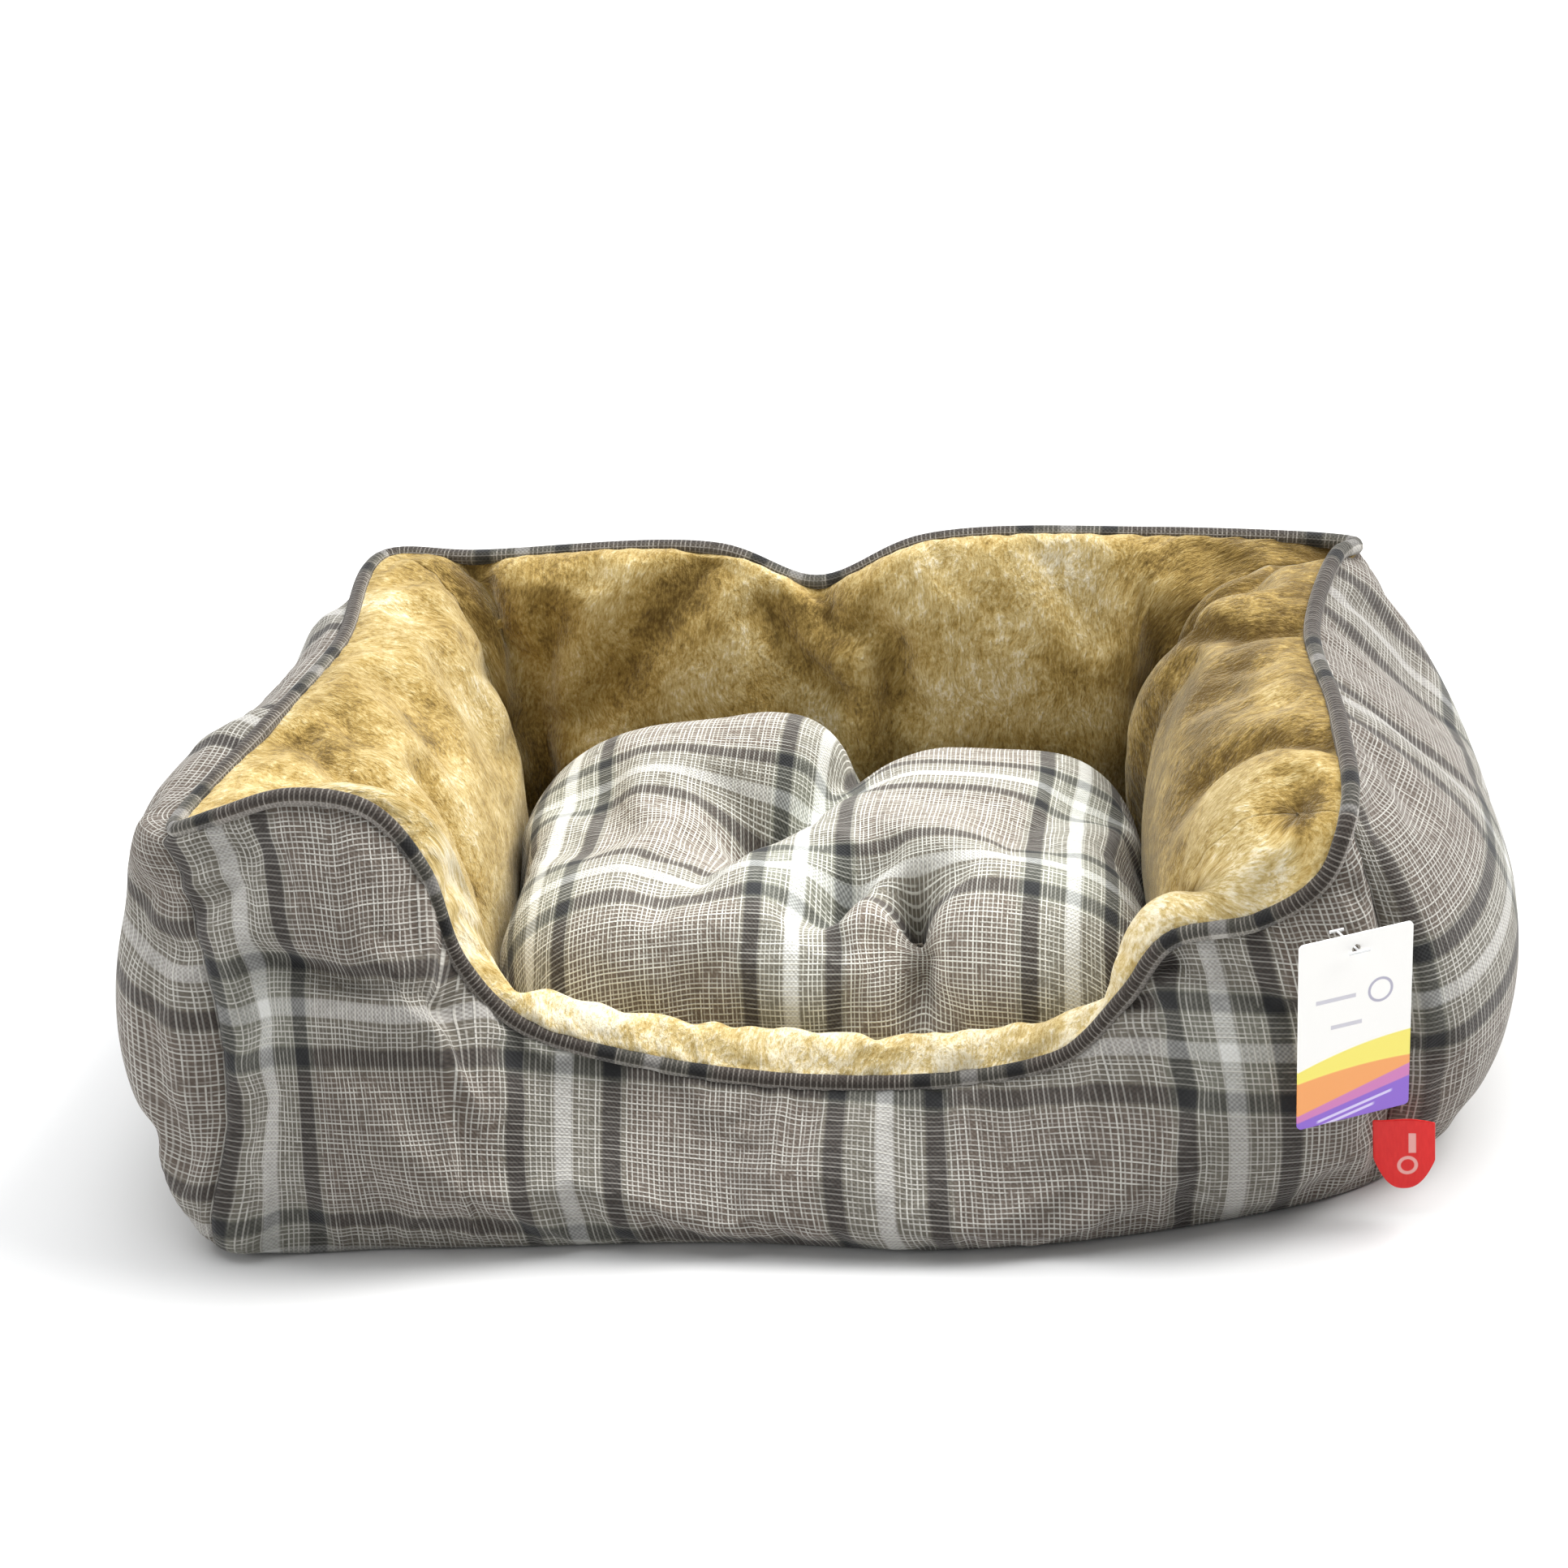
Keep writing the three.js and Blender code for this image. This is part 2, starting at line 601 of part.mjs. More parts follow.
add('base_underside', slab(footOutline(), UNDERSIDE), 'blackCloth');
add('base_wadding', slab(padOutline(), WADDING), 'fibre');
add('base_lining', slab(padOutline(), FLOOR_LINING), 'plush');

const fastenerSpace = tagFastener(FASTENER.clearance);
const pipingSpace = rimRing(PIPING.radius + FILL_GAP, PIPING.spaceSides);
for (const wall of WALLS) {
  const pierced = wall.name === 'front';
  const panel = outerPanel(wall);
  add(`outer_${wall.name}`, pierced ? without(panel, [fastenerSpace]) : panel, 'plaid');
  add(`lining_${wall.name}`, liningPanel(wall), 'plush');
  add(`piping_cover_${wall.name}`, pipingCover(wall), 'pipingCloth');
  if (wall.name === 'back') {
    const notch = notchStation();
    add('fill_back_right', fillBetween(wall.first, notch - 2 * WEB_HALF), 'fibre');
    add('back_web', backWeb(notch), 'plaid');
    add('fill_back_left', fillBetween(notch + 2 * WEB_HALF, wallEnd(wall)), 'fibre');
  } else {
    const sharing = [outerPanel(wall, 2 * GAP), liningPanel(wall, 2 * GAP), pipingSpace];
    const fill = without(fillBetween(wall.first, wallEnd(wall)), sharing);
    add(`fill_${wall.name}`, pierced ? without(fill, [fastenerSpace]) : fill, 'fibre');
  }
}
add('piping_cord', rimRing(PIPING.cord, PIPING.cordSides), 'cottonCord');

add('cushion_fill', without(cushionFill(), tackHoles()), 'fibre');
add('cushion_top_cover', without(cushionSkin(CUSHION.top, TOP_FLATNESS), tackHoles()), 'plaid');
add('cushion_bottom_cover', without(cushionSkin(CUSHION.bottom, BOTTOM_FLATNESS), tackHoles()), 'plaid');
for (const tack of TACKS) add(`cushion_tack_${tack.name}`, tackStitch(tack), 'thread');

add('hang_tag', hangTag(), 'card');
add('tag_fastener', tagFastener(), 'nylon');
add('seam_label', seamLabel(), 'label');

// The origin goes under the middle of the whole bed.
const extent = new THREE.Box3().setFromObject(bed);
const middle = extent.getCenter(new THREE.Vector3());
bed.position.set(-middle.x, -middle.y, 0);

export default new THREE.Group().add(bed);
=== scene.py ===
"""The looks of a bolster pet bed: plaid outer cloth, plush lining, piping and a tufted cushion.

Shapes are worked out in millimetres in the design's own coordinates, and move to the frame's
metres when a mesh is made. x is to the right, y to the back and z up; the entrance faces -y.
"""

import math

import bpy
import numpy as np
from mathutils import Matrix, Vector


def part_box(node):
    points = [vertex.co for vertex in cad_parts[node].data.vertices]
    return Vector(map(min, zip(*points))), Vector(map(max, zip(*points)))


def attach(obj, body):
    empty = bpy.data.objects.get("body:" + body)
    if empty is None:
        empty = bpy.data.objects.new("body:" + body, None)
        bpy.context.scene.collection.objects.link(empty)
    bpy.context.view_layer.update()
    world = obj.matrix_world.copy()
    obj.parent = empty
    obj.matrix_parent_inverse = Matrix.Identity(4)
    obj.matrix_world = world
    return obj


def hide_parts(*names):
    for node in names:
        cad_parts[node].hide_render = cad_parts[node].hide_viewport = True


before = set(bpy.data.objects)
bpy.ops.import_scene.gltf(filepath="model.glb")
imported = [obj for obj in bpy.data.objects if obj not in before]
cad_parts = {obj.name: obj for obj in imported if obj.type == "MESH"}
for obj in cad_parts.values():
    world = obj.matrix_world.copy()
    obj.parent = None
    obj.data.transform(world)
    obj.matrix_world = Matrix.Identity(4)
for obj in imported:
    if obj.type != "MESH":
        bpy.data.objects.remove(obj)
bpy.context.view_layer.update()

MM = 0.001
TINY = 1e-9

# ---- the design's driving dimensions, in millimetres ----

# Each wall runs from its own first corner seam to the next wall's, anticlockwise from above. rim is
# the top seam and foot is where the outer cloth meets the underside.
WALLS = [
    {
        "name": "front", "along": 0, "steps": 156, "bulge": 25,
        "rim": [
            (-262, -135, 183), (-240, -142, 192), (-205, -144, 202), (-172, -144, 195),
            (-153, -142, 165), (-143, -141, 118), (-120, -142, 87), (-60, -143, 66), (0, -144, 57),
            (70, -144, 57), (120, -143, 68), (148, -144, 98), (168, -146, 126), (205, -149, 136),
            (232, -149, 155),
        ],
        "foot": [(-252, -188), (-172, -191), (-28, -187), (73, -193), (177, -174)],
    },
    {
        "name": "right", "along": 1, "steps": 66, "bulge": 46,
        "rim": [(243, -136, 178), (240, -60, 186), (229, 45, 182), (242, 130, 184)],
        "foot": [(250, -142), (284, -95), (290, -20), (284, 70)],
    },
    {
        "name": "back", "along": 0, "steps": 108, "bulge": 35,
        "rim": [
            (250, 150, 180), (150, 152, 188), (40, 150, 189), (-15, 147, 170), (-65, 150, 188),
            (-190, 151, 188),
        ],
        "foot": [(258, 150), (150, 172), (0, 176), (-150, 172)],
    },
    {
        "name": "left", "along": 1, "steps": 66, "bulge": 44,
        "rim": [(-236, 153, 189), (-234, 47, 187), (-247, -47, 187)],
        "foot": [(-255, 152), (-282, 70), (-286, -20), (-281, -110)],
    },
]
CORNER_BULGE = 22
# The well between the linings: its middle, which leans with y, and its rounded outline.
ROOM = {"half_width": 158, "half_depth": 112, "x": -2, "lean": -0.12, "squareness": 8}
FOOT_Z = 1.2
# The lining rises by CROWN over the rim, is fattest at the height FAT_POINT gives, and runs back
# under by TUCK. UPPER_SHARE of its rows are above the fattest place.
CROWN = 10
TUCK = 16
FAT_POINT = {"least": 22, "share": 0.38}
FULLNESS = 1.08
UPPER_SHARE = 0.72
NOTCH_X = -15

OUTER_ROWS = 40
INNER_ROWS = 46

PIPING_RADIUS = 4
CORD_RADIUS = 2.4
THICKNESS = {
    "outer": 1.6, "plush": 3.2, "piping": 0.9, "underside": 0.9, "floor": 2.0, "cushion": 1.2,
    "label": 0.5,
}

CUSHION = {"half_width": 155, "half_depth": 109, "bottom": 19, "seam": 50, "top": 117, "squareness": 5}
CUSHION_TACKS = {"left": (-34, 4), "right": (48, -62)}


def frame_shift():
    """From the design's origin to the frame's, in metres, by where the left tack is in both."""
    low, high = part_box("cushion_tack_left")
    middle = (low + high) / 2
    x, y = CUSHION_TACKS["left"]
    return np.array([middle.x - x * MM, middle.y - y * MM, 0.0])


SHIFT = frame_shift()

# ---- curves and surfaces ----


def spline(knots, first, last, count):
    """count + 1 points from knot first to knot last of a closed centripetal Catmull-Rom curve."""
    knots = np.array(knots, float)
    points = []
    for place in np.linspace(first, last, count + 1):
        low = min(math.floor(place), last - 1)
        t = place - low
        p0, p1, p2, p3 = (knots[(low + k) % len(knots)] for k in (-1, 0, 1, 2))
        d0, d1, d2 = (math.sqrt(np.linalg.norm(b - a)) for a, b in ((p0, p1), (p1, p2), (p2, p3)))
        leave = d1 * ((p1 - p0) / d0 - (p2 - p0) / (d0 + d1) + (p2 - p1) / d1)
        arrive = d1 * ((p2 - p1) / d1 - (p3 - p1) / (d1 + d2) + (p3 - p2) / d2)
        square, cube = t * t, t * t * t
        points.append(
            (2 * cube - 3 * square + 1) * p1
            + (cube - 2 * square + t) * leave
            + (3 * square - 2 * cube) * p2
            + (cube - square) * arrive
        )
    return np.array(points)


def lengths_along(points):
    """How far along a line of points each one is."""
    steps = np.linalg.norm(np.diff(points, axis=0), axis=1)
    return np.concatenate([[0.0], np.cumsum(steps)])


def resample(points, count):
    """count + 1 points at equal distances along a line of points."""
    lengths = lengths_along(points)
    wanted = np.linspace(0, lengths[-1], count + 1)
    return np.stack([np.interp(wanted, lengths, points[:, k]) for k in range(3)], axis=1)


def at_coordinate(points, axis, wanted):
    """The points of a line where one coordinate has the wanted values."""
    order = np.argsort(points[:, axis])
    line = points[order]
    return np.stack([np.interp(wanted, line[:, axis], line[:, k]) for k in range(3)], axis=1)


def soft_limit(value, limit, power):
    """The value, eased so that it never passes the limit."""
    return value / (1 + np.abs(value / limit) ** power) ** (1 / power)


def farther(a, b):
    """Of each pair of values, the one farther from 0."""
    return np.where(np.abs(a) > np.abs(b), a, b)


def room_middle(y):
    """Where the middle of the well is, across the bed, at a place along it."""
    return ROOM["x"] + ROOM["lean"] * y


def unit(vectors):
    """The vectors at length 1."""
    return vectors / np.maximum(np.linalg.norm(vectors, axis=-1, keepdims=True), TINY)


def make_stations():
    """The rim, foot and room points round the bed, with each station's outward way and bulge."""
    rim_knots = [knot for wall in WALLS for knot in wall["rim"]]
    foot_knots = [(*knot, FOOT_Z) for wall in WALLS for knot in wall["foot"]]
    rims, feet, bulges = [], [], []
    fine = 400
    rim_first = foot_first = station = 0
    for wall in WALLS:
        rim_last = rim_first + len(wall["rim"])
        foot_last = foot_first + len(wall["foot"])
        rim = resample(spline(rim_knots, rim_first, rim_last, fine), wall["steps"])
        foot_line = spline(foot_knots, foot_first, foot_last, fine)
        axis = wall["along"]
        share = (rim[:, axis] - rim[0, axis]) / (rim[-1, axis] - rim[0, axis])
        wanted = foot_line[0, axis] + (foot_line[-1, axis] - foot_line[0, axis]) * share
        foot = at_coordinate(foot_line, axis, wanted)
        swell = np.sqrt(np.sin(np.pi * np.clip(share, 0, 1)))
        rims.append(rim[:-1])
        feet.append(foot[:-1])
        bulges.append((CORNER_BULGE + (wall["bulge"] - CORNER_BULGE) * swell)[:-1])
        wall["first"] = station
        station += wall["steps"]
        wall["last"] = station
        rim_first, foot_first = rim_last, foot_last
    rim, foot, bulge = np.concatenate(rims), np.concatenate(feet), np.concatenate(bulges)
    reach = 5
    run = unit(np.roll(foot, -reach, axis=0) - np.roll(foot, reach, axis=0))
    outward = unit(np.stack([run[:, 1], -run[:, 0], np.zeros(len(run))], axis=1))
    y = soft_limit(farther(rim[:, 1], foot[:, 1]), ROOM["half_depth"], ROOM["squareness"])
    from_middle = farther(rim[:, 0], foot[:, 0]) - room_middle(y)
    x = soft_limit(from_middle, ROOM["half_width"], ROOM["squareness"])
    room = np.stack([x + room_middle(y), y, np.zeros(len(x))], axis=1)
    return rim, foot, room, outward, bulge


RIM, FOOT, ROOM_EDGE, OUTWARD, BULGE = make_stations()
STATIONS = len(RIM)


def outer_section(k, share):
    """The outer face at a station, from the foot (share 0) to the rim (1)."""
    share = share[:, None]
    return FOOT[k] * (1 - share) + RIM[k] * share + OUTWARD[k] * BULGE[k] * 4 * share * (1 - share)


def inner_section(k, share):
    """The inner face at a station, from the rim (share 0) over the crown, down and back under (1)."""
    rim, room, outward = RIM[k], ROOM_EDGE[k], OUTWARD[k]
    fat = FAT_POINT["least"] + FAT_POINT["share"] * rim[2]
    turn = np.minimum(share / UPPER_SHARE, 1) * np.pi / 2
    inwards = np.sin(turn)[:, None] ** FULLNESS
    down = 1 - np.maximum(0, np.cos(turn)) ** FULLNESS
    upper = rim * (1 - inwards) + room * inwards
    upper[:, 2] = rim[2] - (rim[2] - fat) * down + CROWN * np.sin(2 * turn)
    back = np.clip((share - UPPER_SHARE) / (1 - UPPER_SHARE), 0, 1) * np.pi / 2
    lower = room + outward * TUCK * (1 - np.cos(back))[:, None]
    lower[:, 2] = fat - (fat - FOOT_Z) * np.sin(back)
    return np.where((share <= UPPER_SHARE)[:, None], upper, lower)


# The front left corner's seam wanders to the right between the foot and the rim.
SEAM_WANDER = {"stations": 5.5, "reach": 15}


def wander(skin):
    """Shifts the outer face's stations along it next to the front left corner."""
    middle = STATIONS // 2
    apart = (np.arange(STATIONS) + middle) % STATIONS - middle
    shift = SEAM_WANDER["stations"] * np.exp(-((apart / SEAM_WANDER["reach"]) ** 2))
    places = np.arange(STATIONS)
    for row in range(1, OUTER_ROWS):
        wanted = (places + shift * math.sin(math.pi * row / OUTER_ROWS)) % STATIONS
        line = np.concatenate([skin[:, row], skin[:1, row]])
        at = np.arange(STATIONS + 1)
        skin[:, row] = np.stack([np.interp(wanted, at, line[:, k]) for k in range(3)], axis=1)
    return skin


def wall_skin():
    """The whole skin of the walls: stations by rows, up the outer face and down the inner one."""
    fine = np.linspace(0, 1, 160)
    lines = []
    for k in range(STATIONS):
        outer = resample(outer_section(k, fine), OUTER_ROWS)
        inner = resample(inner_section(k, fine), INNER_ROWS)
        lines.append(np.concatenate([outer, inner[1:]]))
    return wander(np.array(lines))


def grid_normals(grid, ring):
    """Unit normals of a grid of points, which closes on itself along its first axis if ring."""
    if ring:
        across = np.roll(grid, -1, axis=0) - np.roll(grid, 1, axis=0)
    else:
        across = np.gradient(grid, axis=0)
    along = np.gradient(grid, axis=1)
    return unit(np.cross(across, along))


def distance_to_path(points, path):
    """The distance of each point from a path of straight stretches."""
    path = np.array(path, float)
    if len(path) == 1:
        return np.linalg.norm(points - path[0], axis=-1)
    best = np.full(points.shape[:-1], np.inf)
    for a, b in zip(path[:-1], path[1:]):
        run = b - a
        share = np.clip((points - a) @ run / (run @ run), 0, 1)
        best = np.minimum(best, np.linalg.norm(points - a - share[..., None] * run, axis=-1))
    return best


def press(points, normals, distance, radius, depth, sharpness=2.0):
    """Pushes points in by depth where the distance is small, or out where depth is negative."""
    closeness = np.exp(-((distance / radius) ** sharpness))
    return points - normals * (depth * closeness)[..., None]


# ---- cloth ----


def grid_faces(across, along, ring=False):
    """Quads over a grid of points, numbered along first."""
    here = np.arange(across if ring else across - 1)
    there = (here + 1) % across
    row = np.arange(along - 1)
    a = here[:, None] * along + row
    b = there[:, None] * along + row
    return np.stack([a, b, b + 1, a + 1], axis=-1).reshape(-1, 4)


# How the simulated cloth behaves, by the names of Blender's own settings.
CLOTH = {
    "quality": 6, "mass": 0.25, "air_damping": 2.0, "tension_stiffness": 20, "compression_stiffness": 20,
    "shear_stiffness": 8, "tension_damping": 8, "compression_damping": 8, "shear_damping": 8,
    "bending_damping": 1, "use_pressure": True, "vertex_group_mass": "hold", "pin_stiffness": 1.0,
}


def settle(points, faces, hold, spare, pressure, bending, frames, most):
    """Runs a cloth simulation on points in millimetres and returns where they end up. hold is how
    firmly each point keeps its place, spare is how much larger the cloth is cut, and most is the
    longest move."""
    mesh = bpy.data.meshes.new("settling")
    mesh.from_pydata((points * MM).tolist(), [], faces.tolist())
    obj = bpy.data.objects.new("settling", mesh)
    bpy.context.collection.objects.link(obj)
    group = obj.vertex_groups.new(name="hold")
    levels = np.round(hold, 2)
    for level in np.unique(levels):
        if level > 0:
            group.add(np.flatnonzero(levels == level).tolist(), float(level), "REPLACE")
    cloth = obj.modifiers.new("cloth", "CLOTH")
    cloth.point_cache.frame_start = 1
    cloth.point_cache.frame_end = frames
    for key, value in CLOTH.items():
        setattr(cloth.settings, key, value)
    cloth.settings.bending_stiffness = bending
    cloth.settings.uniform_pressure_force = pressure
    cloth.settings.shrink_min = -spare
    cloth.settings.effector_weights.gravity = 0
    scene = bpy.context.scene
    for number in range(1, frames + 1):
        scene.frame_set(number)
    settled = obj.evaluated_get(bpy.context.evaluated_depsgraph_get()).to_mesh()
    result = np.empty(len(points) * 3)
    settled.vertices.foreach_get("co", result)
    bpy.data.objects.remove(obj)
    scene.frame_set(1)
    return capped(points, result.reshape(-1, 3) / MM, most)


def capped(points, moved, most):
    """The moved points, with no move longer than most."""
    move = moved - points
    length = np.linalg.norm(move, axis=-1, keepdims=True)
    return points + move * most * np.tanh(length / most) / np.maximum(length, TINY)


# ---- meshes and pieces ----


def make_piece(name, points, faces, material, body, uv=None):
    """A mesh of points in millimetres. uv gives each point's place on the flat cloth, in metres."""
    mesh = bpy.data.meshes.new(name)
    places = (np.asarray(points) * MM + SHIFT).tolist()
    mesh.from_pydata(places, [], [list(map(int, face)) for face in faces])
    if uv is not None:
        corners = np.empty(len(mesh.loops), dtype=np.int32)
        mesh.loops.foreach_get("vertex_index", corners)
        layer = mesh.uv_layers.new(name="cloth")
        layer.data.foreach_set("uv", np.asarray(uv, np.float32)[corners].ravel())
    mesh.shade_smooth()
    mesh.materials.append(material)
    obj = bpy.data.objects.new(name, mesh)
    bpy.context.collection.objects.link(obj)
    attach(obj, body)
    return obj


def thicken(obj, thickness, levels=1):
    """Smooths a sheet, unless levels is 0, and gives it its thickness on the inside."""
    if levels:
        smoother = obj.modifiers.new("smooth", "SUBSURF")
        smoother.levels = levels
        smoother.render_levels = levels
    solid = obj.modifiers.new("thickness", "SOLIDIFY")
    solid.thickness = thickness * MM
    solid.offset = -1


# ---- materials ----


class Number:
    """A number that a material's nodes work out. Plain arithmetic on it adds the nodes."""

    def __init__(self, shader, socket):
        self.shader = shader
        self.socket = socket

    def __add__(self, other):
        return self.shader.math("ADD", self, other)

    def __sub__(self, other):
        return self.shader.math("SUBTRACT", self, other)

    def __rsub__(self, other):
        return self.shader.math("SUBTRACT", other, self)

    def __mul__(self, other):
        return self.shader.math("MULTIPLY", self, other)

    def __truediv__(self, other):
        return self.shader.math("DIVIDE", self, other)

    def __abs__(self):
        return self.shader.math("ABSOLUTE", self)


class Shader:
    """Builds one material's nodes. A value is a Number, a socket or a plain value."""

    def __init__(self, name):
        self.material = bpy.data.materials.new(name)
        self.material.use_nodes = True
        self.nodes = self.material.node_tree.nodes
        self.links = self.material.node_tree.links
        self.surface = self.nodes["Principled BSDF"]

    def plug(self, value, socket):
        if isinstance(value, Number):
            value = value.socket
        if isinstance(value, bpy.types.NodeSocket):
            self.links.new(value, socket)
        else:
            socket.default_value = value

    def node(self, kind, values=(), output=0, **options):
        made = self.nodes.new("ShaderNode" + kind)
        for key, value in options.items():
            setattr(made, key, value)
        for key, value in dict(values).items():
            self.plug(value, made.inputs[key])
        return made.outputs[output]

    def number(self, kind, values=(), output=0, **options):
        return Number(self, self.node(kind, values, output, **options))

    def math(self, operation, a, b=0.0):
        return self.number("Math", {0: a, 1: b}, operation=operation)

    def smooth(self, value, low, high):
        """0 below low and 1 above high, with a soft step between; low may be over high."""
        if low > high:
            return 1.0 - self.smooth(value, high, low)
        values = {"Value": value, "From Min": low, "From Max": high}
        return self.number("MapRange", values, interpolation_type="SMOOTHSTEP")

    def within(self, value, middle, full, none):
        """1 where the value is nearer the middle than full, and 0 where it is farther than none."""
        return self.smooth(abs(value - middle), none, full)

    def mix(self, share, a, b, blend="MIX"):
        made = self.nodes.new("ShaderNodeMix")
        made.data_type = "RGBA"
        made.blend_type = blend
        self.plug(share, made.inputs["Factor"])
        for value, socket in ((a, made.inputs[6]), (b, made.inputs[7])):
            self.plug(value, socket)
        return made.outputs[2]

    def noise(self, vector, scale, detail=2.0, roughness=0.5, output=0):
        values = {"Vector": vector, "Scale": scale, "Detail": detail, "Roughness": roughness}
        return self.number("TexNoise", values, output)

    def ramp(self, value, stops):
        made = self.nodes.new("ShaderNodeValToRGB")
        self.plug(value, made.inputs[0])
        elements = made.color_ramp.elements
        while len(elements) < len(stops):
            elements.new(0.5)
        for element, (position, colour) in zip(elements, stops):
            element.position = position
            element.color = colour
        return made.outputs[0]

    def scaled(self, vector, scale):
        return self.node("Mapping", {"Vector": vector, "Scale": scale})

    def split(self, vector):
        made = self.nodes.new("ShaderNodeSeparateXYZ")
        self.links.new(vector, made.inputs[0])
        return [Number(self, socket) for socket in made.outputs]

    def flat_cloth(self):
        """The place on the flat cloth: the whole vector, and how far across and along."""
        whole = self.node("UVMap", uv_map="cloth")
        return whole, *self.split(whole)[:2]

    def object_place(self):
        return self.nodes.new("ShaderNodeTexCoord").outputs["Object"]

    def bump(self, height, distance, strength):
        return self.node("Bump", {"Height": height, "Distance": distance, "Strength": strength})

    def finish(self, **values):
        """Sets the surface's sockets, named with _ for spaces."""
        for key, value in values.items():
            self.plug(value, self.surface.inputs[key.replace("_", " ")])
        return self.material


def rgb(text):
    """A colour for a shader from its sRGB hex."""
    parts = [int(text[k:k + 2], 16) / 255 for k in (0, 2, 4)]
    return (*[((p + 0.055) / 1.055) ** 2.4 if p > 0.04045 else p / 12.92 for p in parts], 1.0)


def grey(level):
    return (level, level, level, 1.0)


# The plaid, in metres on the flat cloth: how far apart its white stripes are each way, half their
# width, where the dark stripes beside them run and half theirs, where the rose ground starts, how soft
# these edges are, how far the threads stray, how far apart the pale lines are and how thick a thread is.
PLAID = {
    "warp_repeat": 0.141, "weft_repeat": 0.122, "white_half": 0.0037, "dark_at": 0.0207,
    "dark_half": 0.0040, "rose_from": 0.027, "soft": 0.0009, "rose_soft": 0.003, "stray": 0.0010,
    "line_pitch": 0.0023, "thread": 0.00105,
}
PLAID_COLOURS = {
    "ground": rgb("838276"), "rose": rgb("73675d"), "dark": rgb("303133"), "white": rgb("f4f4f0"),
    "line": rgb("e9e6de"),
}


def plaid_threads(s, along, across, repeat, seed):
    """One set of threads, which run the other way: its colour, how strongly its pale lines show and
    where it is dark."""
    soft = PLAID["soft"]
    values = {"W": along, "Scale": 9.0, "Detail": 1.0}
    place = across + (s.number("TexNoise", values, noise_dimensions="1D") - 0.5) * PLAID["stray"]
    from_middle = abs(s.math("FRACT", place / repeat + 0.5) - 0.5) * repeat
    white = s.smooth(from_middle, PLAID["white_half"] + soft, PLAID["white_half"] - soft)
    dark = s.within(from_middle, PLAID["dark_at"], PLAID["dark_half"] - soft, PLAID["dark_half"] + soft)
    rose_soft = PLAID["rose_soft"]
    rose = s.smooth(from_middle, PLAID["rose_from"] - rose_soft, PLAID["rose_from"] + rose_soft)
    colour = s.mix(rose, PLAID_COLOURS["ground"], PLAID_COLOURS["rose"])
    colour = s.mix(dark, colour, PLAID_COLOURS["dark"])
    colour = s.mix(white, colour, PLAID_COLOURS["white"])
    count = place / PLAID["line_pitch"]
    number = s.math("FLOOR", count)
    chance = s.number("TexWhiteNoise", {"W": number + seed}, noise_dimensions="1D")
    line = s.within(s.math("FRACT", count), (chance - 0.5) * 0.4 + 0.5, 0.07, 0.21)
    flow = s.node("CombineXYZ", {0: along * 90.0, 1: number * 7.31, 2: seed})
    slub = s.smooth(s.noise(flow, 1.0, 2.0, 0.6), 0.28, 0.52)
    plain_ground = 1.0 - s.math("MAXIMUM", dark, white)
    return colour, line * slub * (chance * 0.7 + 0.45) * plain_ground, dark


def plaid_material(name, shade):
    """Linen-look checked cloth: two sets of coloured threads, pale slubby lines and a plain weave,
    multiplied by shade, which is painted light and shade for the part the cloth is on.
    """
    s = Shader(name)
    whole, across, along = s.flat_cloth()
    warp, warp_line, warp_dark = plaid_threads(s, along, across, PLAID["warp_repeat"], 3.0)
    weft, weft_line, weft_dark = plaid_threads(s, across, along, PLAID["weft_repeat"], 41.0)
    turn = math.pi / PLAID["thread"]
    weave = s.math("SINE", across * turn) * s.math("SINE", along * turn)
    colour = s.mix(weave * 0.18 + 0.44, warp, weft)
    dark = s.math("MAXIMUM", warp_dark, weft_dark * 0.8)
    colour = s.mix(dark * 0.34, colour, grey(0.02))
    mottled = s.noise(s.scaled(whole, (260.0, 260.0, 1.0)), 1.0, 3.0, 0.7)
    colour = s.mix(0.6, colour, s.mix(mottled, grey(0.08), grey(0.86)), "OVERLAY")
    shown = 0.85 - dark * 0.5
    for line in (warp_line, weft_line):
        colour = s.mix(line * shown, colour, PLAID_COLOURS["line"])
    height = weave * 0.3 + warp_line + weft_line + mottled * 0.8
    # The shade multiplies the colours: painted light and shade for this part's copy of the cloth.
    return s.finish(
        Base_Color=s.mix(1.0, colour, shade, "MULTIPLY"), Roughness=0.88,
        Normal=s.bump(height, 0.0006, 0.6), Sheen_Weight=0.12, Sheen_Roughness=0.5,
        Specular_IOR_Level=0.25,
    )


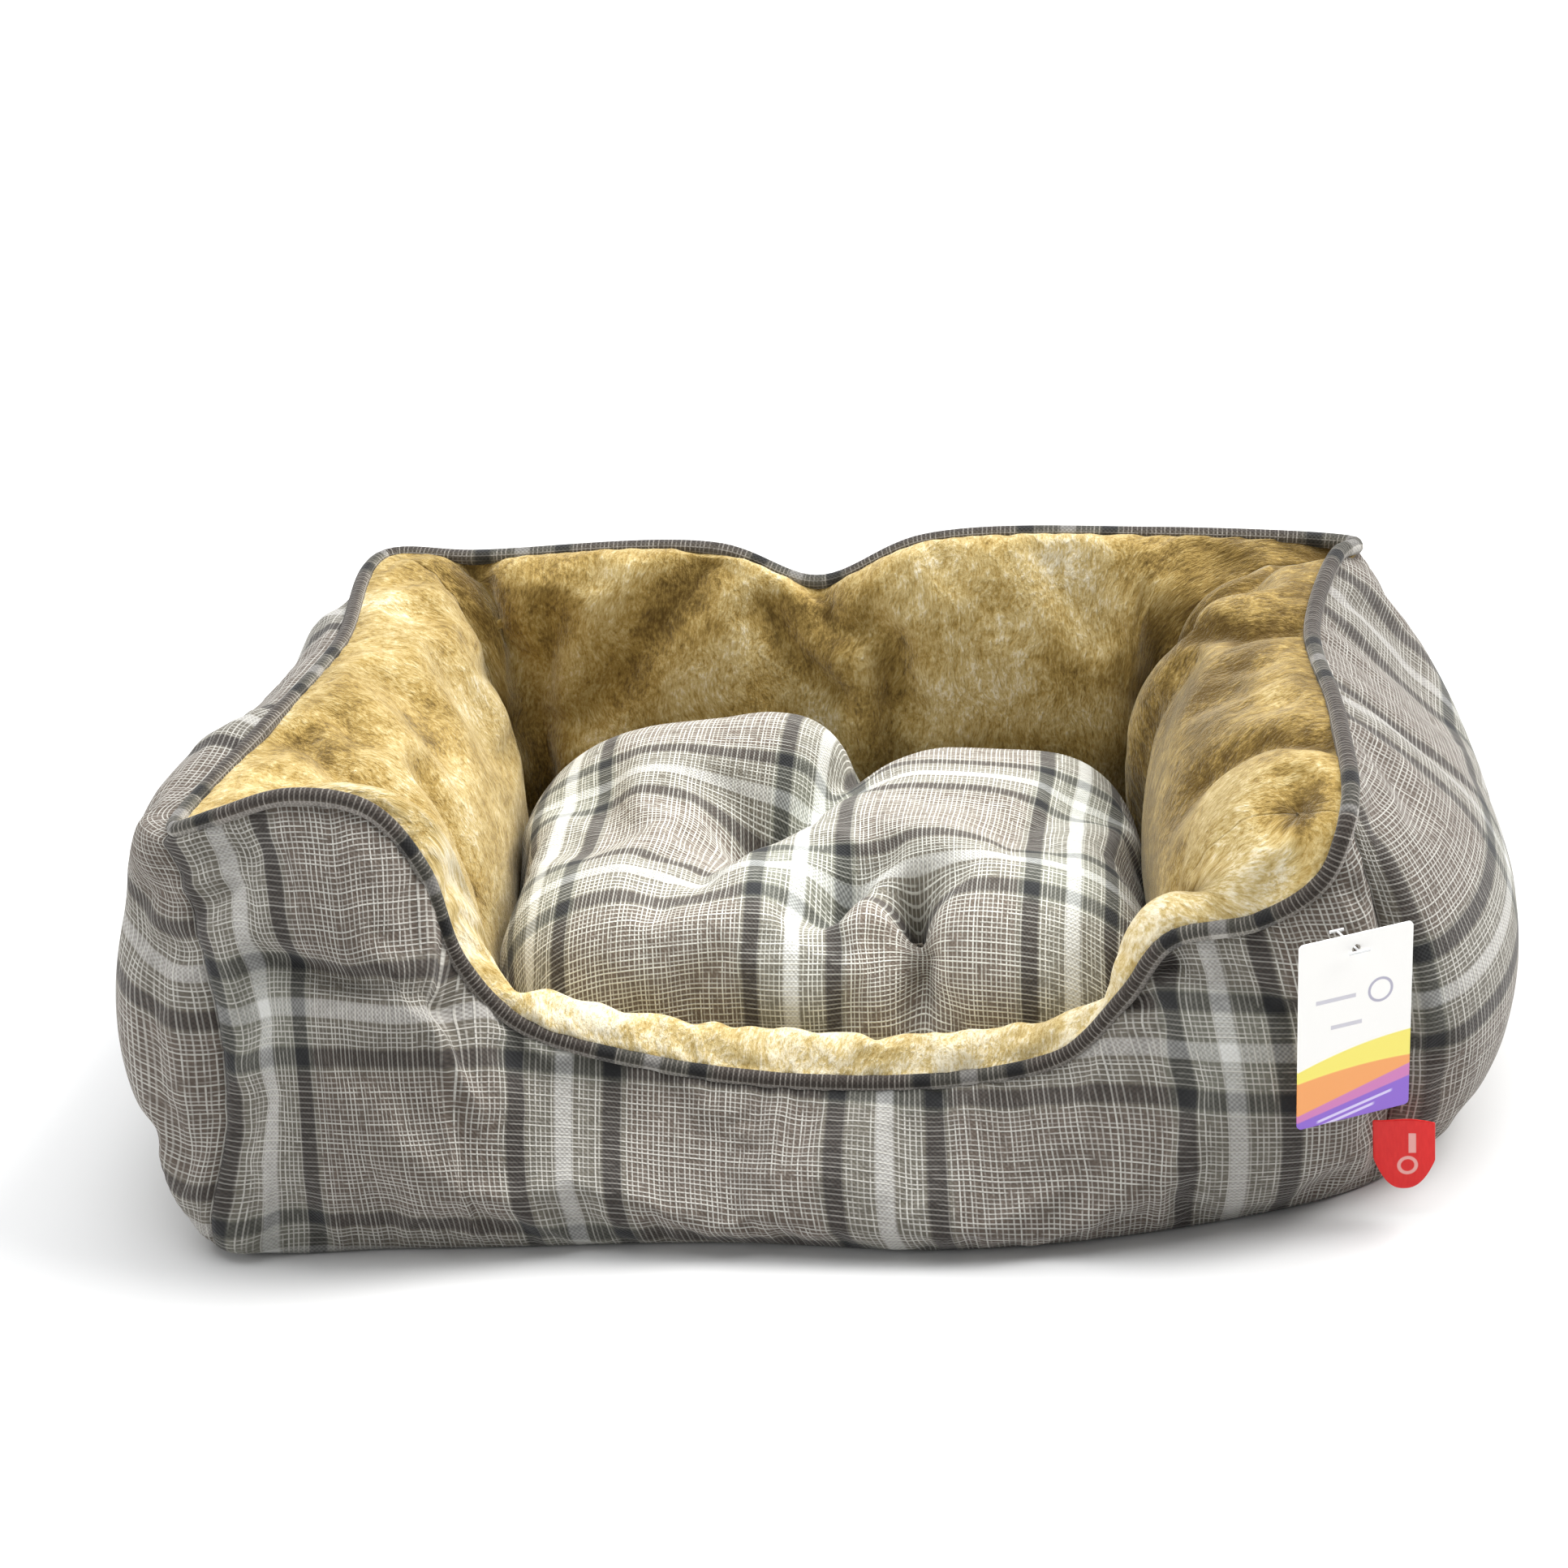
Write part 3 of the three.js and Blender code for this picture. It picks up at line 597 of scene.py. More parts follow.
def plush_material(name):
    """Short golden pile: brushed streaks, and paler or darker by the mesh's pile value, which is
    painted light and shade.
    """
    s = Shader(name)
    whole = s.flat_cloth()[0]
    place = s.object_place()
    bend = s.scaled(s.noise(place, 30.0, 1.0, output=1), (0.012, 0.012, 0.012))
    bent = s.node("VectorMath", {0: whole, 1: bend}, operation="ADD")
    streak = s.noise(s.scaled(bent, (800.0, 330.0, 1.0)), 1.0, 3.0, 0.7)
    clump = s.noise(s.scaled(bent, (230.0, 130.0, 1.0)), 1.0, 3.0, 0.6)
    patch = s.noise(place, 26.0, 3.0, 0.55)
    drift = s.noise(place, 9.0)
    # The mesh's pile value is painted light and shade: paler on walls painted as lit, darker on shaded
    # ones and in folds.
    painted_light = s.number("Attribute", attribute_name="pile", output=2)
    tone = streak * 0.42 + clump * 0.34 + patch * 0.42 + drift * 0.24 + painted_light * 0.4
    colour = s.ramp(
        s.smooth(tone, 0.49, 1.03),
        [(0.0, rgb("5f4a22")), (0.32, rgb("a58a4d")), (0.62, rgb("c7b27d")), (1.0, rgb("f3ecd6"))],
    )
    return s.finish(
        Base_Color=colour, Roughness=0.95, Normal=s.bump(streak + clump * 1.6, 0.0014, 0.8),
        Sheen_Weight=0.5, Sheen_Roughness=0.4, Sheen_Tint=rgb("fbf3da"), Specular_IOR_Level=0.1,
    )


def felt_material(name, dark, light, scale=900.0):
    """A plain fibrous material in two close colours."""
    s = Shader(name)
    grain = s.noise(s.object_place(), scale, 4.0, 0.7)
    colour = s.ramp(s.smooth(grain, 0.3, 0.7), [(0.0, rgb(dark)), (1.0, rgb(light))])
    return s.finish(
        Base_Color=colour, Roughness=0.9, Normal=s.bump(grain, 0.0003, 0.6), Sheen_Weight=0.1,
        Specular_IOR_Level=0.2,
    )


# ---- the walls ----

# How firmly the cloth keeps its place, from 0 to 1, by where it is. by_ is one row or station away.
HOLD = {
    "sewn": 1.0, "by_rim": 0.6, "by_hem": 0.5, "corner": 0.9, "by_corner": 0.4, "crease": 0.25,
    "elsewhere": 0.02,
}
LINING_HOLD = 0.5


def hold_of_skin(rows):
    """How firmly each point of the skin keeps its place: the rim, the foot and the hem are sewn."""
    hold = np.full((STATIONS, rows), HOLD["elsewhere"])
    hold[:, (OUTER_ROWS - 1, OUTER_ROWS + 1)] = HOLD["by_rim"]
    hold[:, (1, -2)] = HOLD["by_hem"]
    hold[:, (0, OUTER_ROWS, -1)] = HOLD["sewn"]
    for wall in WALLS:
        for offset in (-1, 0, 1):
            weight = HOLD["by_corner" if offset else "corner"]
            k = (wall["first"] + offset) % STATIONS
            hold[k, :OUTER_ROWS] = np.maximum(hold[k, :OUTER_ROWS], weight)
            hold[k, OUTER_ROWS:] = np.maximum(hold[k, OUTER_ROWS:], weight * LINING_HOLD)
    return hold


# The line of the roll of plush on the sill, and the clumps of pile along it.
SILL_ROLL = [(-112, -129, 86), (-60, -130, 76), (0, -131, 68), (70, -131, 68), (122, -129, 78)]
SILL_CLUMPS = {"spacing": 15, "jitter": 6, "radius": 6, "depth": 3.4, "sharpness": 1.8, "seed": 7}

# Places where the stuffed cloth is drawn in, or stands out where the depth is below 0: the face it is
# on, a path, a radius, how far in, and how sharp.
CREASES = [
    # the back wall's plush: its left corner, two slack diagonals, and the folds under the notch
    (
        "inner", [(-188, 143, 189), (-182, 128, 177), (-170, 119, 150), (-160, 116, 110), (-160, 116, 40)],
        9, 15, 1.4,
    ),
    ("inner", [(-190, 108, 184), (-168, 84, 160), (-152, 80, 120), (-150, 84, 60)], 20, -9, 2.0),
    ("inner", [(-70, 133, 184), (-97, 120, 158), (-120, 114, 132), (-136, 112, 115)], 15, 8, 1.6),
    ("inner", [(-146, 121, 162), (-162, 112, 111)], 11, 8, 1.6),
    ("inner", [(-37, 126, 163), (-25, 118, 141), (-3, 115, 122)], 8, 8, 1.5),
    ("inner", [(-14, 138, 173), (-4, 121, 152), (14, 121, 154)], 8, 8, 1.4),
    ("inner", [(-4, 120, 146), (8, 114, 123), (9, 112, 99)], 10, -7, 1.8),
    ("inner", [(25, 118, 145), (24, 114, 122)], 9, 9, 1.5),
    # the right wall's plush: the flap over its back corner, where it meets the back wall, its folds
    ("inner", [(240, 143, 182), (204, 121, 183), (190, 104, 178)], 9, 13, 1.3),
    ("inner", [(190, 102, 178), (165, 104, 156), (152, 108, 117), (150, 110, 40)], 10, 15, 1.4),
    ("inner", [(186, 74, 174), (160, 72, 146), (145, 80, 110), (143, 82, 60)], 18, -8, 2.0),
    ("inner", [(165, 88, 156), (197, 46, 180), (226, 50, 183)], 9, 9, 1.4),
    ("inner", [(180, -58, 158), (198, -67, 177), (221, -74, 187), (236, -81, 184)], 9, 8, 1.5),
    ("inner", [(222, -126, 176)], 13, 16, 1.8),
    # the left wall's plush
    ("inner", [(-228, -50, 189), (-208, -66, 185), (-188, -84, 170)], 14, 11, 1.5),
    ("inner", [(-215, -30, 188), (-202, -42, 183)], 10, 7, 1.5),
    ("inner", [(-174, -40, 160), (-162, -50, 126), (-160, -56, 100)], 10, 9, 1.6),
    ("inner", [(-200, 10, 180), (-176, -8, 158)], 14, 5, 1.8),
    # the roll of plush that stands above the sill and above the front wall's right end
    ("inner", SILL_ROLL, 15, -8, 2.0),
    ("inner", [(152, -129, 108), (175, -129, 136), (205, -131, 150), (228, -131, 162)], 16, -9, 2.0),
    # the left wall's outer shoulder, which stands out past its seam
    ("outer", [(-262, -122, 167), (-259, -62, 171)], 26, -16, 2.2),
    ("outer", [(-252, -30, 172), (-246, 30, 172), (-242, 80, 174)], 28, -9, 2.2),
    # the front wall: slack folds under the scoop's ends, the left top corner and the squared lower one
    ("outer", [(-214, -178, 140), (-180, -182, 131), (-142, -161, 108)], 8, 10, 1.4),
    ("outer", [(158, -146, 120), (187, -156, 112), (224, -167, 99)], 8, 10, 1.4),
    ("outer", [(150, -148, 100), (176, -160, 92)], 7, 6, 1.4),
    ("outer", [(-262, -141, 176)], 9, 10, 1.5),
    ("outer", [(-266, -149, 169), (-249, -153, 176), (-226, -154, 181)], 6, 7, 1.5),
    ("outer", [(-279, -143, 156), (-254, -160, 157), (-232, -160, 168)], 7, 9, 1.4),
    ("outer", [(-281, -150, 136), (-262, -166, 140)], 8, 6, 1.5),
    ("outer", [(-264, -190, 30), (-252, -196, 10)], 20, -9, 2.0),
]


def clumps_on_sill():
    """Small clumps of pile that stand up along the sill's roll, as creases that stand out."""
    random = np.random.default_rng(SILL_CLUMPS["seed"])
    x, y, z = np.array(SILL_ROLL, float).T
    jitter = SILL_CLUMPS["jitter"]
    clumps = []
    for place in np.arange(x[0], x[-1], SILL_CLUMPS["spacing"]):
        at = place + random.uniform(-jitter, jitter)
        centre = (at, np.interp(at, x, y) + random.uniform(-jitter, jitter), np.interp(at, x, z))
        depth = -SILL_CLUMPS["depth"] * random.uniform(0.4, 1.2)
        clumps.append(("inner", [centre], SILL_CLUMPS["radius"], depth, SILL_CLUMPS["sharpness"]))
    return clumps


CREASES += clumps_on_sill()
# How far the corner seams draw the outer cloth in, and over how many stations it fades.
SEAM_DRAW = 5
SEAM_HALF_WIDTH = 1.6


def shaped_skin():
    """The skin with its creases, drawn in along the corner seams of its outer face."""
    skin = wall_skin()
    for side, path, radius, depth, sharpness in CREASES:
        distance = distance_to_path(skin, path)
        pressed = press(skin, grid_normals(skin, True), distance, radius, depth, sharpness)
        rows = slice(1, OUTER_ROWS) if side == "outer" else slice(OUTER_ROWS + 1, -1)
        skin[:, rows] = pressed[:, rows]
    normals = grid_normals(skin, True)
    height = np.sin(np.pi * np.arange(OUTER_ROWS) / OUTER_ROWS)
    for wall in WALLS:
        for offset in range(-4, 5):
            k = (wall["first"] + offset) % STATIONS
            depth = SEAM_DRAW * math.exp(-abs(offset) / SEAM_HALF_WIDTH) * height
            skin[k, :OUTER_ROWS] -= normals[k, :OUTER_ROWS] * depth[:, None]
    skin[..., 2] = np.maximum(skin[..., 2], FOOT_Z)
    return skin


# Painted light and shade on the plush: each wall's lining is painted paler where it is lit and darker
# where it is shaded, over how many stations that changes at a corner, and how much painted shade
# darkens it for each millimetre that a fold is drawn in.
WALL_PAINTED_LIGHT = {"front": 0.27, "right": -0.22, "back": 0.08, "left": 0.06}
PAINTED_LIGHT_BLEND = 26
FOLD_PAINTED_SHADE = 0.045


def painted_light_of(grid, name):
    """The painted light and shade on the plush at each point of a lining: paler on a wall painted as lit,
    darker on one painted as shaded. It changes gently towards the next walls, and is darker in a fold,
    as painted shade."""
    names = [wall["name"] for wall in WALLS]
    at = names.index(name)
    along = np.arange(len(grid))
    pile = np.full(grid.shape[:2], WALL_PAINTED_LIGHT[name])
    for neighbour, steps in ((names[at - 1], along), (names[(at + 1) % len(names)], along[::-1])):
        share = 0.5 * np.clip(1 - steps / PAINTED_LIGHT_BLEND, 0, 1)
        pile += (share * (WALL_PAINTED_LIGHT[neighbour] - WALL_PAINTED_LIGHT[name]))[:, None]
    # Painted shade: the plush is darker near each inner fold that is drawn in.
    for side, path, radius, depth, _ in CREASES:
        if side == "inner" and depth > 0:
            nearness = np.exp(-((distance_to_path(grid, path) / (radius * 0.9)) ** 2))
            pile -= FOLD_PAINTED_SHADE * depth * nearness
    return pile


def hold_of_creases(skin):
    """How much more firmly the skin keeps its place next to a crease."""
    hold = np.zeros(skin.shape[:2])
    for _, path, radius, _, _ in CREASES:
        nearness = np.exp(-((distance_to_path(skin, path) / radius) ** 2))
        hold = np.maximum(hold, HOLD["crease"] * nearness)
    return hold


# How the walls' cloth settles: see settle().
WALL_CLOTH = {"spare": 0.045, "pressure": 1.2, "bending": 2.0, "frames": 16, "most": 9.0}


def settled_skin(skin):
    """The skin after its cloth has settled over the stuffing; its sewn edges stay in place."""
    hold = np.maximum(hold_of_skin(skin.shape[1]), hold_of_creases(skin))
    faces = grid_faces(STATIONS, skin.shape[1], True)
    moved = settle(skin.reshape(-1, 3), faces, hold.ravel(), **WALL_CLOTH).reshape(skin.shape)
    moved[:, (0, OUTER_ROWS, -1)] = skin[:, (0, OUTER_ROWS, -1)]
    moved[..., 2] = np.maximum(moved[..., 2], FOOT_Z)
    return moved


def cloth_places(grid):
    """Where each point of a panel is on the flat cloth, in metres: across and up."""
    across = lengths_along((grid[:, 0] + grid[:, -1]) / 2 * (1, 1, 0))
    across = across - across[-1] / 2
    up = np.array([lengths_along(line) for line in grid])
    return np.stack([np.broadcast_to(across[:, None], up.shape), up], axis=2) * MM


def surface_area(grid):
    """The area of a grid of points in millimetres, in square metres."""
    one, two = grid[1:, 1:] - grid[:-1, :-1], grid[1:, :-1] - grid[:-1, 1:]
    return float(np.linalg.norm(np.cross(one, two), axis=2).sum() / 2 * MM * MM)


# Where the plaid falls on each wall: the place along the wall of a stripe that runs up it, the height
# of the level stripe up the cloth, how far that drops for each millimetre, and which way it is cut.
PLAID_AT = {
    "front": {"stripe": 45, "height": 102, "drop": 0.077, "turned": False},
    "right": {"stripe": -28, "height": 100, "drop": 0.0, "turned": True},
    "back": {"stripe": 20, "height": 110, "drop": 0.0, "turned": False},
    "left": {"stripe": 80, "height": 143, "drop": 0.0, "turned": False},
}


def plaid_places(flat, wall, ways):
    """Moves a panel's places on the cloth so that the plaid falls where PLAID_AT says."""
    at = PLAID_AT[wall["name"]]
    order = np.argsort(ways)
    across = flat[:, 0, 0]
    middle = np.interp(at["stripe"], ways[order], across[order])
    x = flat[..., 0] - middle
    y = flat[..., 1] - at["height"] * MM + at["drop"] * x
    return np.stack([y, x] if at["turned"] else [x, y], axis=2)


def wall_panel(side, wall, skin, base, rows, material):
    """One wall's outer cloth or lining. skin is the settled skin, and base the one it is cut from."""
    node = f"{side}_{wall['name']}"
    plaid = side == "outer"
    stations = [k % STATIONS for k in range(wall["first"], wall["last"] + 1)]
    grid = skin[stations][:, rows]
    cut = base[stations][:, rows]
    places = cloth_places(cut)
    width, length = np.ptp(places.reshape(-1, 2), axis=0).tolist()
    area = min(surface_area(cut), width * length)
    if plaid:
        ways = (cut[:, 0, wall["along"]] + cut[:, -1, wall["along"]]) / 2
        places = plaid_places(places, wall, ways)
    faces = grid_faces(*grid.shape[:2])
    uv = places.reshape(-1, 2)
    obj = make_piece(f"{node}_cloth", grid.reshape(-1, 3), faces, material, "bed", uv=uv)
    thicken(obj, THICKNESS["outer" if plaid else "plush"])
    if not plaid:
        # The lining's pile value: painted light and shade, per wall and in its folds.
        layer = obj.data.attributes.new("pile", "FLOAT", "POINT")
        layer.data.foreach_set("value", painted_light_of(cut, wall["name"]).astype(np.float32).ravel())
    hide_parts(node)
    return obj


# How far the stuffing and the web lie inside the skin, how many stations the stuffing stops short of a
# wall's ends, and how far above the foot it starts.
STUFFING_INSET = 17.0
WEB_INSET = 15.0
STUFFING_SHORT = 5
STUFFING_LIFT = 3


def stuffing(node, skin, normals, first, last, material):
    """A wall's stuffing: the skin drawn in by more than the cloths' thickness, closed underneath."""
    stations = [k % STATIONS for k in range(first, last + 1, 2)]
    rows = [*range(2, OUTER_ROWS - 2, 3), *range(OUTER_ROWS + 3, skin.shape[1] - 1, 3)]
    inner = (skin - normals * STUFFING_INSET)[stations][:, rows]
    inner[..., 2] = np.maximum(inner[..., 2], FOOT_Z + STUFFING_LIFT)
    across, along = inner.shape[:2]
    faces = grid_faces(across, along).tolist()
    for k in range(across - 1):
        here, there = k * along, (k + 1) * along
        faces.append([here + along - 1, there + along - 1, there, here])
    faces.append(list(range(along)))
    faces.append([(across - 1) * along + k for k in reversed(range(along))])
    obj = make_piece(f"{node}_stuffing", inner.reshape(-1, 3), faces, material, "bed")
    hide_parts(node)
    return obj


def make_web(plain, normals, notch, material):
    """The web under the notch that keeps the back wall's two fillings apart."""
    ring = (plain - normals * WEB_INSET)[notch, ::3]
    ring[:, 2] = np.maximum(ring[:, 2], FOOT_Z + STUFFING_LIFT)
    face = list(range(len(ring)))
    web = make_piece("web_cloth", ring, [face], material, "bed", uv=ring[:, 1:] * MM)
    thicken(web, THICKNESS["outer"], 0)
    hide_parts("back_web")


def fine_rim():
    """The rim at twice as many places, with the outward ways there."""
    middle = (RIM + np.roll(RIM, -1, axis=0)) / 2
    points = np.stack([RIM, middle], axis=1).reshape(-1, 3)
    outward = np.stack([OUTWARD, OUTWARD + np.roll(OUTWARD, -1, axis=0)], axis=1).reshape(-1, 3)
    return points, unit(outward)


def rim_rings(points, outward, radius, sides):
    """A ring of points round each place on the rim."""
    run = unit(np.roll(points, -2, axis=0) - np.roll(points, 2, axis=0))
    up = unit(np.cross(run, outward))
    side = np.cross(up, run)
    angle = np.linspace(0, 2 * np.pi, sides, endpoint=False)[None, :, None]
    return points[:, None] + radius * (np.cos(angle) * side[:, None] + np.sin(angle) * up[:, None])


def ring_faces(rings, sides, closed=False):
    """Quads between rings of points, and between the last ring and the first if closed."""
    faces = []
    for k in range(rings if closed else rings - 1):
        there = (k + 1) % rings
        for j in range(sides):
            after = (j + 1) % sides
            faces.append([k * sides + j, k * sides + after, there * sides + after, there * sides + j])
    return faces


def piping_cover(wall, points, outward, material):
    """The strip of cloth round the piping cord along one wall."""
    count, sides = len(points), 12
    places = [k % count for k in range(2 * wall["first"], 2 * wall["last"] + 1)]
    rings = rim_rings(points, outward, PIPING_RADIUS, sides)[places]
    far = lengths_along(points[places])
    around = np.arange(sides + 1) * 2 * np.pi / sides * PIPING_RADIUS
    corners = []
    for k in range(len(places) - 1):
        for j in range(sides):
            corners += [(far[k], around[j]), (far[k], around[j + 1])]
            corners += [(far[k + 1], around[j + 1]), (far[k + 1], around[j])]
    faces = ring_faces(len(places), sides)
    obj = make_piece(f"piping_{wall['name']}_cloth", rings.reshape(-1, 3), faces, material, "bed")
    layer = obj.data.uv_layers.new(name="cloth")
    layer.data.foreach_set("uv", (np.array(corners, np.float32) * MM).ravel())
    thicken(obj, THICKNESS["piping"], 0)
    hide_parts(f"piping_cover_{wall['name']}")
    return obj


def piping_core(points, outward, material):
    """The cord inside the piping, which closes on itself."""
    sides = 8
    rings = rim_rings(points, outward, CORD_RADIUS, sides)
    faces = ring_faces(len(points), sides, closed=True)
    core = make_piece("piping_core", rings.reshape(-1, 3), faces, material, "bed")
    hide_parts("piping_cord")


def make_panels(looks):
    """The four walls' outer cloth, lining and piping."""
    base = shaped_skin()
    skin = settled_skin(base)
    outer, inner = slice(0, OUTER_ROWS + 1), slice(OUTER_ROWS, skin.shape[1])
    points, outward = fine_rim()
    for wall in WALLS:
        panel = wall_panel("outer", wall, skin, base, outer, looks["plaid"])
        lining = wall_panel("lining", wall, skin, base, inner, looks["plush"])
        piping = piping_cover(wall, points, outward, looks["piping"])
    piping_core(points, outward, looks["cord"])


def make_fillings(looks):
    """The stuffing of the walls, and the web that parts the back wall's."""
    plain = wall_skin()
    normals = grid_normals(plain, True)
    back = WALLS[2]
    from_notch = np.abs(RIM[back["first"]:back["last"], 0] - NOTCH_X)
    notch = back["first"] + int(np.argmin(from_notch))
    make_web(plain, normals, notch, looks["plaid"])
    spans = [(f"fill_{w['name']}", w["first"], w["last"]) for w in WALLS if w is not back]
    spans += [("fill_back_right", back["first"], notch - 1), ("fill_back_left", notch + 1, back["last"])]
    for name, first, last in spans:
        ends = first + STUFFING_SHORT, last - STUFFING_SHORT
        stuffing(name, plain, normals, *ends, looks["fibre"])


# ---- the base ----


def disc_grid(half_width, half_depth, squareness, across, along):
    """A grid over a rounded rectangle, as shares from -1 to 1, closer together near its edge, with
    how far out each point is, from 0 in the middle to 1 on the edge."""
    def places(count):
        even = np.linspace(-1, 1, count + 1)
        return (even + np.sin(even * np.pi / 2)) / 2

    a, b = np.meshgrid(places(across), places(along), indexing="ij")
    angle = np.arctan2(b, a)
    cosine, sine = np.abs(np.cos(angle)), np.abs(np.sin(angle))
    rounded = (cosine**squareness + sine**squareness) ** (-1 / squareness)
    square = 1 / np.maximum(cosine, sine)
    out = np.maximum(np.abs(a), np.abs(b))
    pull = 1 + (rounded / square - 1) * out**3
    y = b * pull * half_depth
    x = a * pull * half_width + room_middle(y)
    share = ((np.abs(a * pull)) ** squareness + (np.abs(b * pull)) ** squareness) ** (1 / squareness)
    return x, y, np.minimum(share, 1)


# How much smaller than the foot the underside is, and how far the floor runs under the linings.
UNDERSIDE_SHARE = 0.985
UNDERSIDE_RINGS = 12
UNDERSIDE_TOP = 0.9
FLOOR_TUCK = 8
FLOOR_SQUARENESS = 20
FLOOR_CELLS = (40, 30)
FLOOR_TOP = 17.2
WADDING = {"top": 14.5, "bottom": 2.4}


def make_underside(material):
    """The black cloth that the bed stands on."""
    shares = np.linspace(0, 1, UNDERSIDE_RINGS + 1)[:, None, None]
    flat = FOOT * (1, 1, 0)
    rings = flat * np.sqrt(shares) * UNDERSIDE_SHARE
    rings[..., 2] = UNDERSIDE_TOP
    points = rings[1:].transpose(1, 0, 2).reshape(-1, 3)
    faces = grid_faces(STATIONS, UNDERSIDE_RINGS, True)[:, ::-1].tolist()
    faces.append([k * UNDERSIDE_RINGS for k in reversed(range(STATIONS))])
    underside = make_piece("underside_cloth", points, faces, material, "bed", uv=points[:, :2] * MM)
    for polygon in underside.data.polygons:
        if polygon.normal.z < 0:
            polygon.flip()
    underside.data.update()
    thicken(underside, THICKNESS["underside"], 0)
    x, y = flat[:, 0], flat[:, 1]
    area = float(abs((x * np.roll(y, -1) - np.roll(x, -1) * y).sum()) / 2 * MM * MM)
    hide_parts("base_underside")


def make_floor(looks):
    """The plush floor of the well and the wadding under it."""
    half_width, half_depth = ROOM["half_width"] + FLOOR_TUCK, ROOM["half_depth"] + FLOOR_TUCK
    x, y, share = disc_grid(half_width, half_depth, FLOOR_SQUARENESS, *FLOOR_CELLS)
    crown = 1.5 * (1 - share**4)
    floor = np.stack([x, y, FLOOR_TOP + crown * 0.5], axis=2).reshape(-1, 3)
    faces = grid_faces(*x.shape)
    lining = make_piece("floor_plush", floor, faces, looks["plush"], "bed", uv=floor[:, :2] * MM)
    thicken(lining, THICKNESS["floor"], 0)
    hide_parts("base_lining")

    top, bottom = WADDING["top"] + crown * 0.3, np.full(x.shape, WADDING["bottom"])
    wadding = closed_pad("base_wadding_pad", x, y, top, bottom, looks["fibre"], "bed")
    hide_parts("base_wadding")


def closed_pad(name, x, y, top, bottom, material, body):
    """A closed pad between a top and a bottom grid, joined round the edge."""
    across, along = x.shape
    points = np.concatenate([np.stack([x, y, z], axis=2).reshape(-1, 3) for z in (top, bottom)])
    faces = grid_faces(across, along).tolist()
    count = across * along
    faces += [[corner + count for corner in reversed(face)] for face in faces]
    number = np.arange(count).reshape(across, along)
    sides = number[:-1, 0], number[-1, :-1], number[:0:-1, -1], number[0, :0:-1]
    edge = np.concatenate(sides).tolist()
    for a, b in zip(edge, edge[1:] + edge[:1]):
        faces.append([b, a, a + count, b + count])
    return make_piece(name, points, faces, material, body)


# ---- the cushion ----

CUSHION_CELLS = (72, 52)
TOP_FLATNESS = 4.5
BOTTOM_FLATNESS = 6
# Where the cushion's filling has gathered: a place, how far it spreads and how much it adds.
CUSHION_SWELLS = [
    ((-90, 74), 58, 14), ((-22, 84), 38, 18), ((80, 84), 50, -4), ((125, 80), 34, 8), ((70, 10), 60, -2),
    ((14, 106), 26, -16), ((52, -34), 24, 5),
]
# Where the cushion is drawn in: a path seen from above, a radius, a depth and a sharpness.
CUSHION_DENTS = [
    ([(16, 110), (16, 70), (2, 34), (-34, 4)], 16, 14, 1.5),
    ([(18, 100), (12, 66), (-4, 32), (-34, 4)], 6, 12, 1.3),
    ([(-34, 4), (-46, -22), (-52, -50)], 12, 12, 1.3),
    ([(-34, 4)], 23, 32, 1.3),
    ([(48, -66)], 12, 26, 1.5),
    ([(49, -70), (51, -88), (54, -112)], 7, 36, 1.3),
    ([(16, -58), (8, -74)], 12, 24, 1.5),
    ([(12, -64), (24, -48), (34, -44)], 7, 8, 1.4),
    ([(30, -74), (26, -100)], 7, -4, 1.6),
    ([(34, -96), (22, -110)], 8, 6, 1.5),
    ([(118, 24), (92, -20)], 12, 4, 1.6),
    ([(-112, 24), (-98, -14)], 12, 4, 1.6),
]
CUSHION_PLAID = (-4, -50)
# The cloth is gathered on the cushion, so its pattern comes closer together than on a flat cloth.
GATHERED = {"across": 1.13, "behind": 1.5}
UNGATHERED = {"across": 1.0, "behind": 1.0}


def cushion_face(flatness, peak, depth_swells):
    """The cushion's top or bottom before it is drawn in, as a grid of points."""
    x, y, share = disc_grid(
        CUSHION["half_width"], CUSHION["half_depth"], CUSHION["squareness"], *CUSHION_CELLS)
    rise = np.full(x.shape, float(peak - CUSHION["seam"]))
    for (at_x, at_y), radius, more in depth_swells:
        rise += more * np.exp(-((x - at_x) ** 2 + (y - at_y) ** 2) / radius**2)
    z = CUSHION["seam"] + rise * np.sqrt(np.maximum(0, 1 - share**flatness))
    return np.stack([x, y, z], axis=2)


def dented(top):
    """The cushion's top drawn in along its dents."""
    normals = grid_normals(top, False)
    shaped = top
    for path, radius, depth, sharpness in CUSHION_DENTS:
        shaped = press(shaped, normals, distance_to_path(top[..., :2], path), radius, depth, sharpness)
    shaped[(0, -1), :] = top[(0, -1), :]
    shaped[:, (0, -1)] = top[:, (0, -1)]
    return shaped


def from_origin(line, axis, origin):
    """How far along a line of points each one is from where the line passes the origin."""
    far = lengths_along(line)
    return far - np.interp(origin, line[:, axis], far)


def centred_places(grid, origin):
    """Where each point of a face is on the flat cloth, in metres, from the cloth's place at origin."""
    across = np.array([from_origin(line, 0, origin[0]) for line in grid.transpose(1, 0, 2)]).T
    along = np.array([from_origin(line, 1, origin[1]) for line in grid])
    return np.stack([across, along], axis=2) * MM


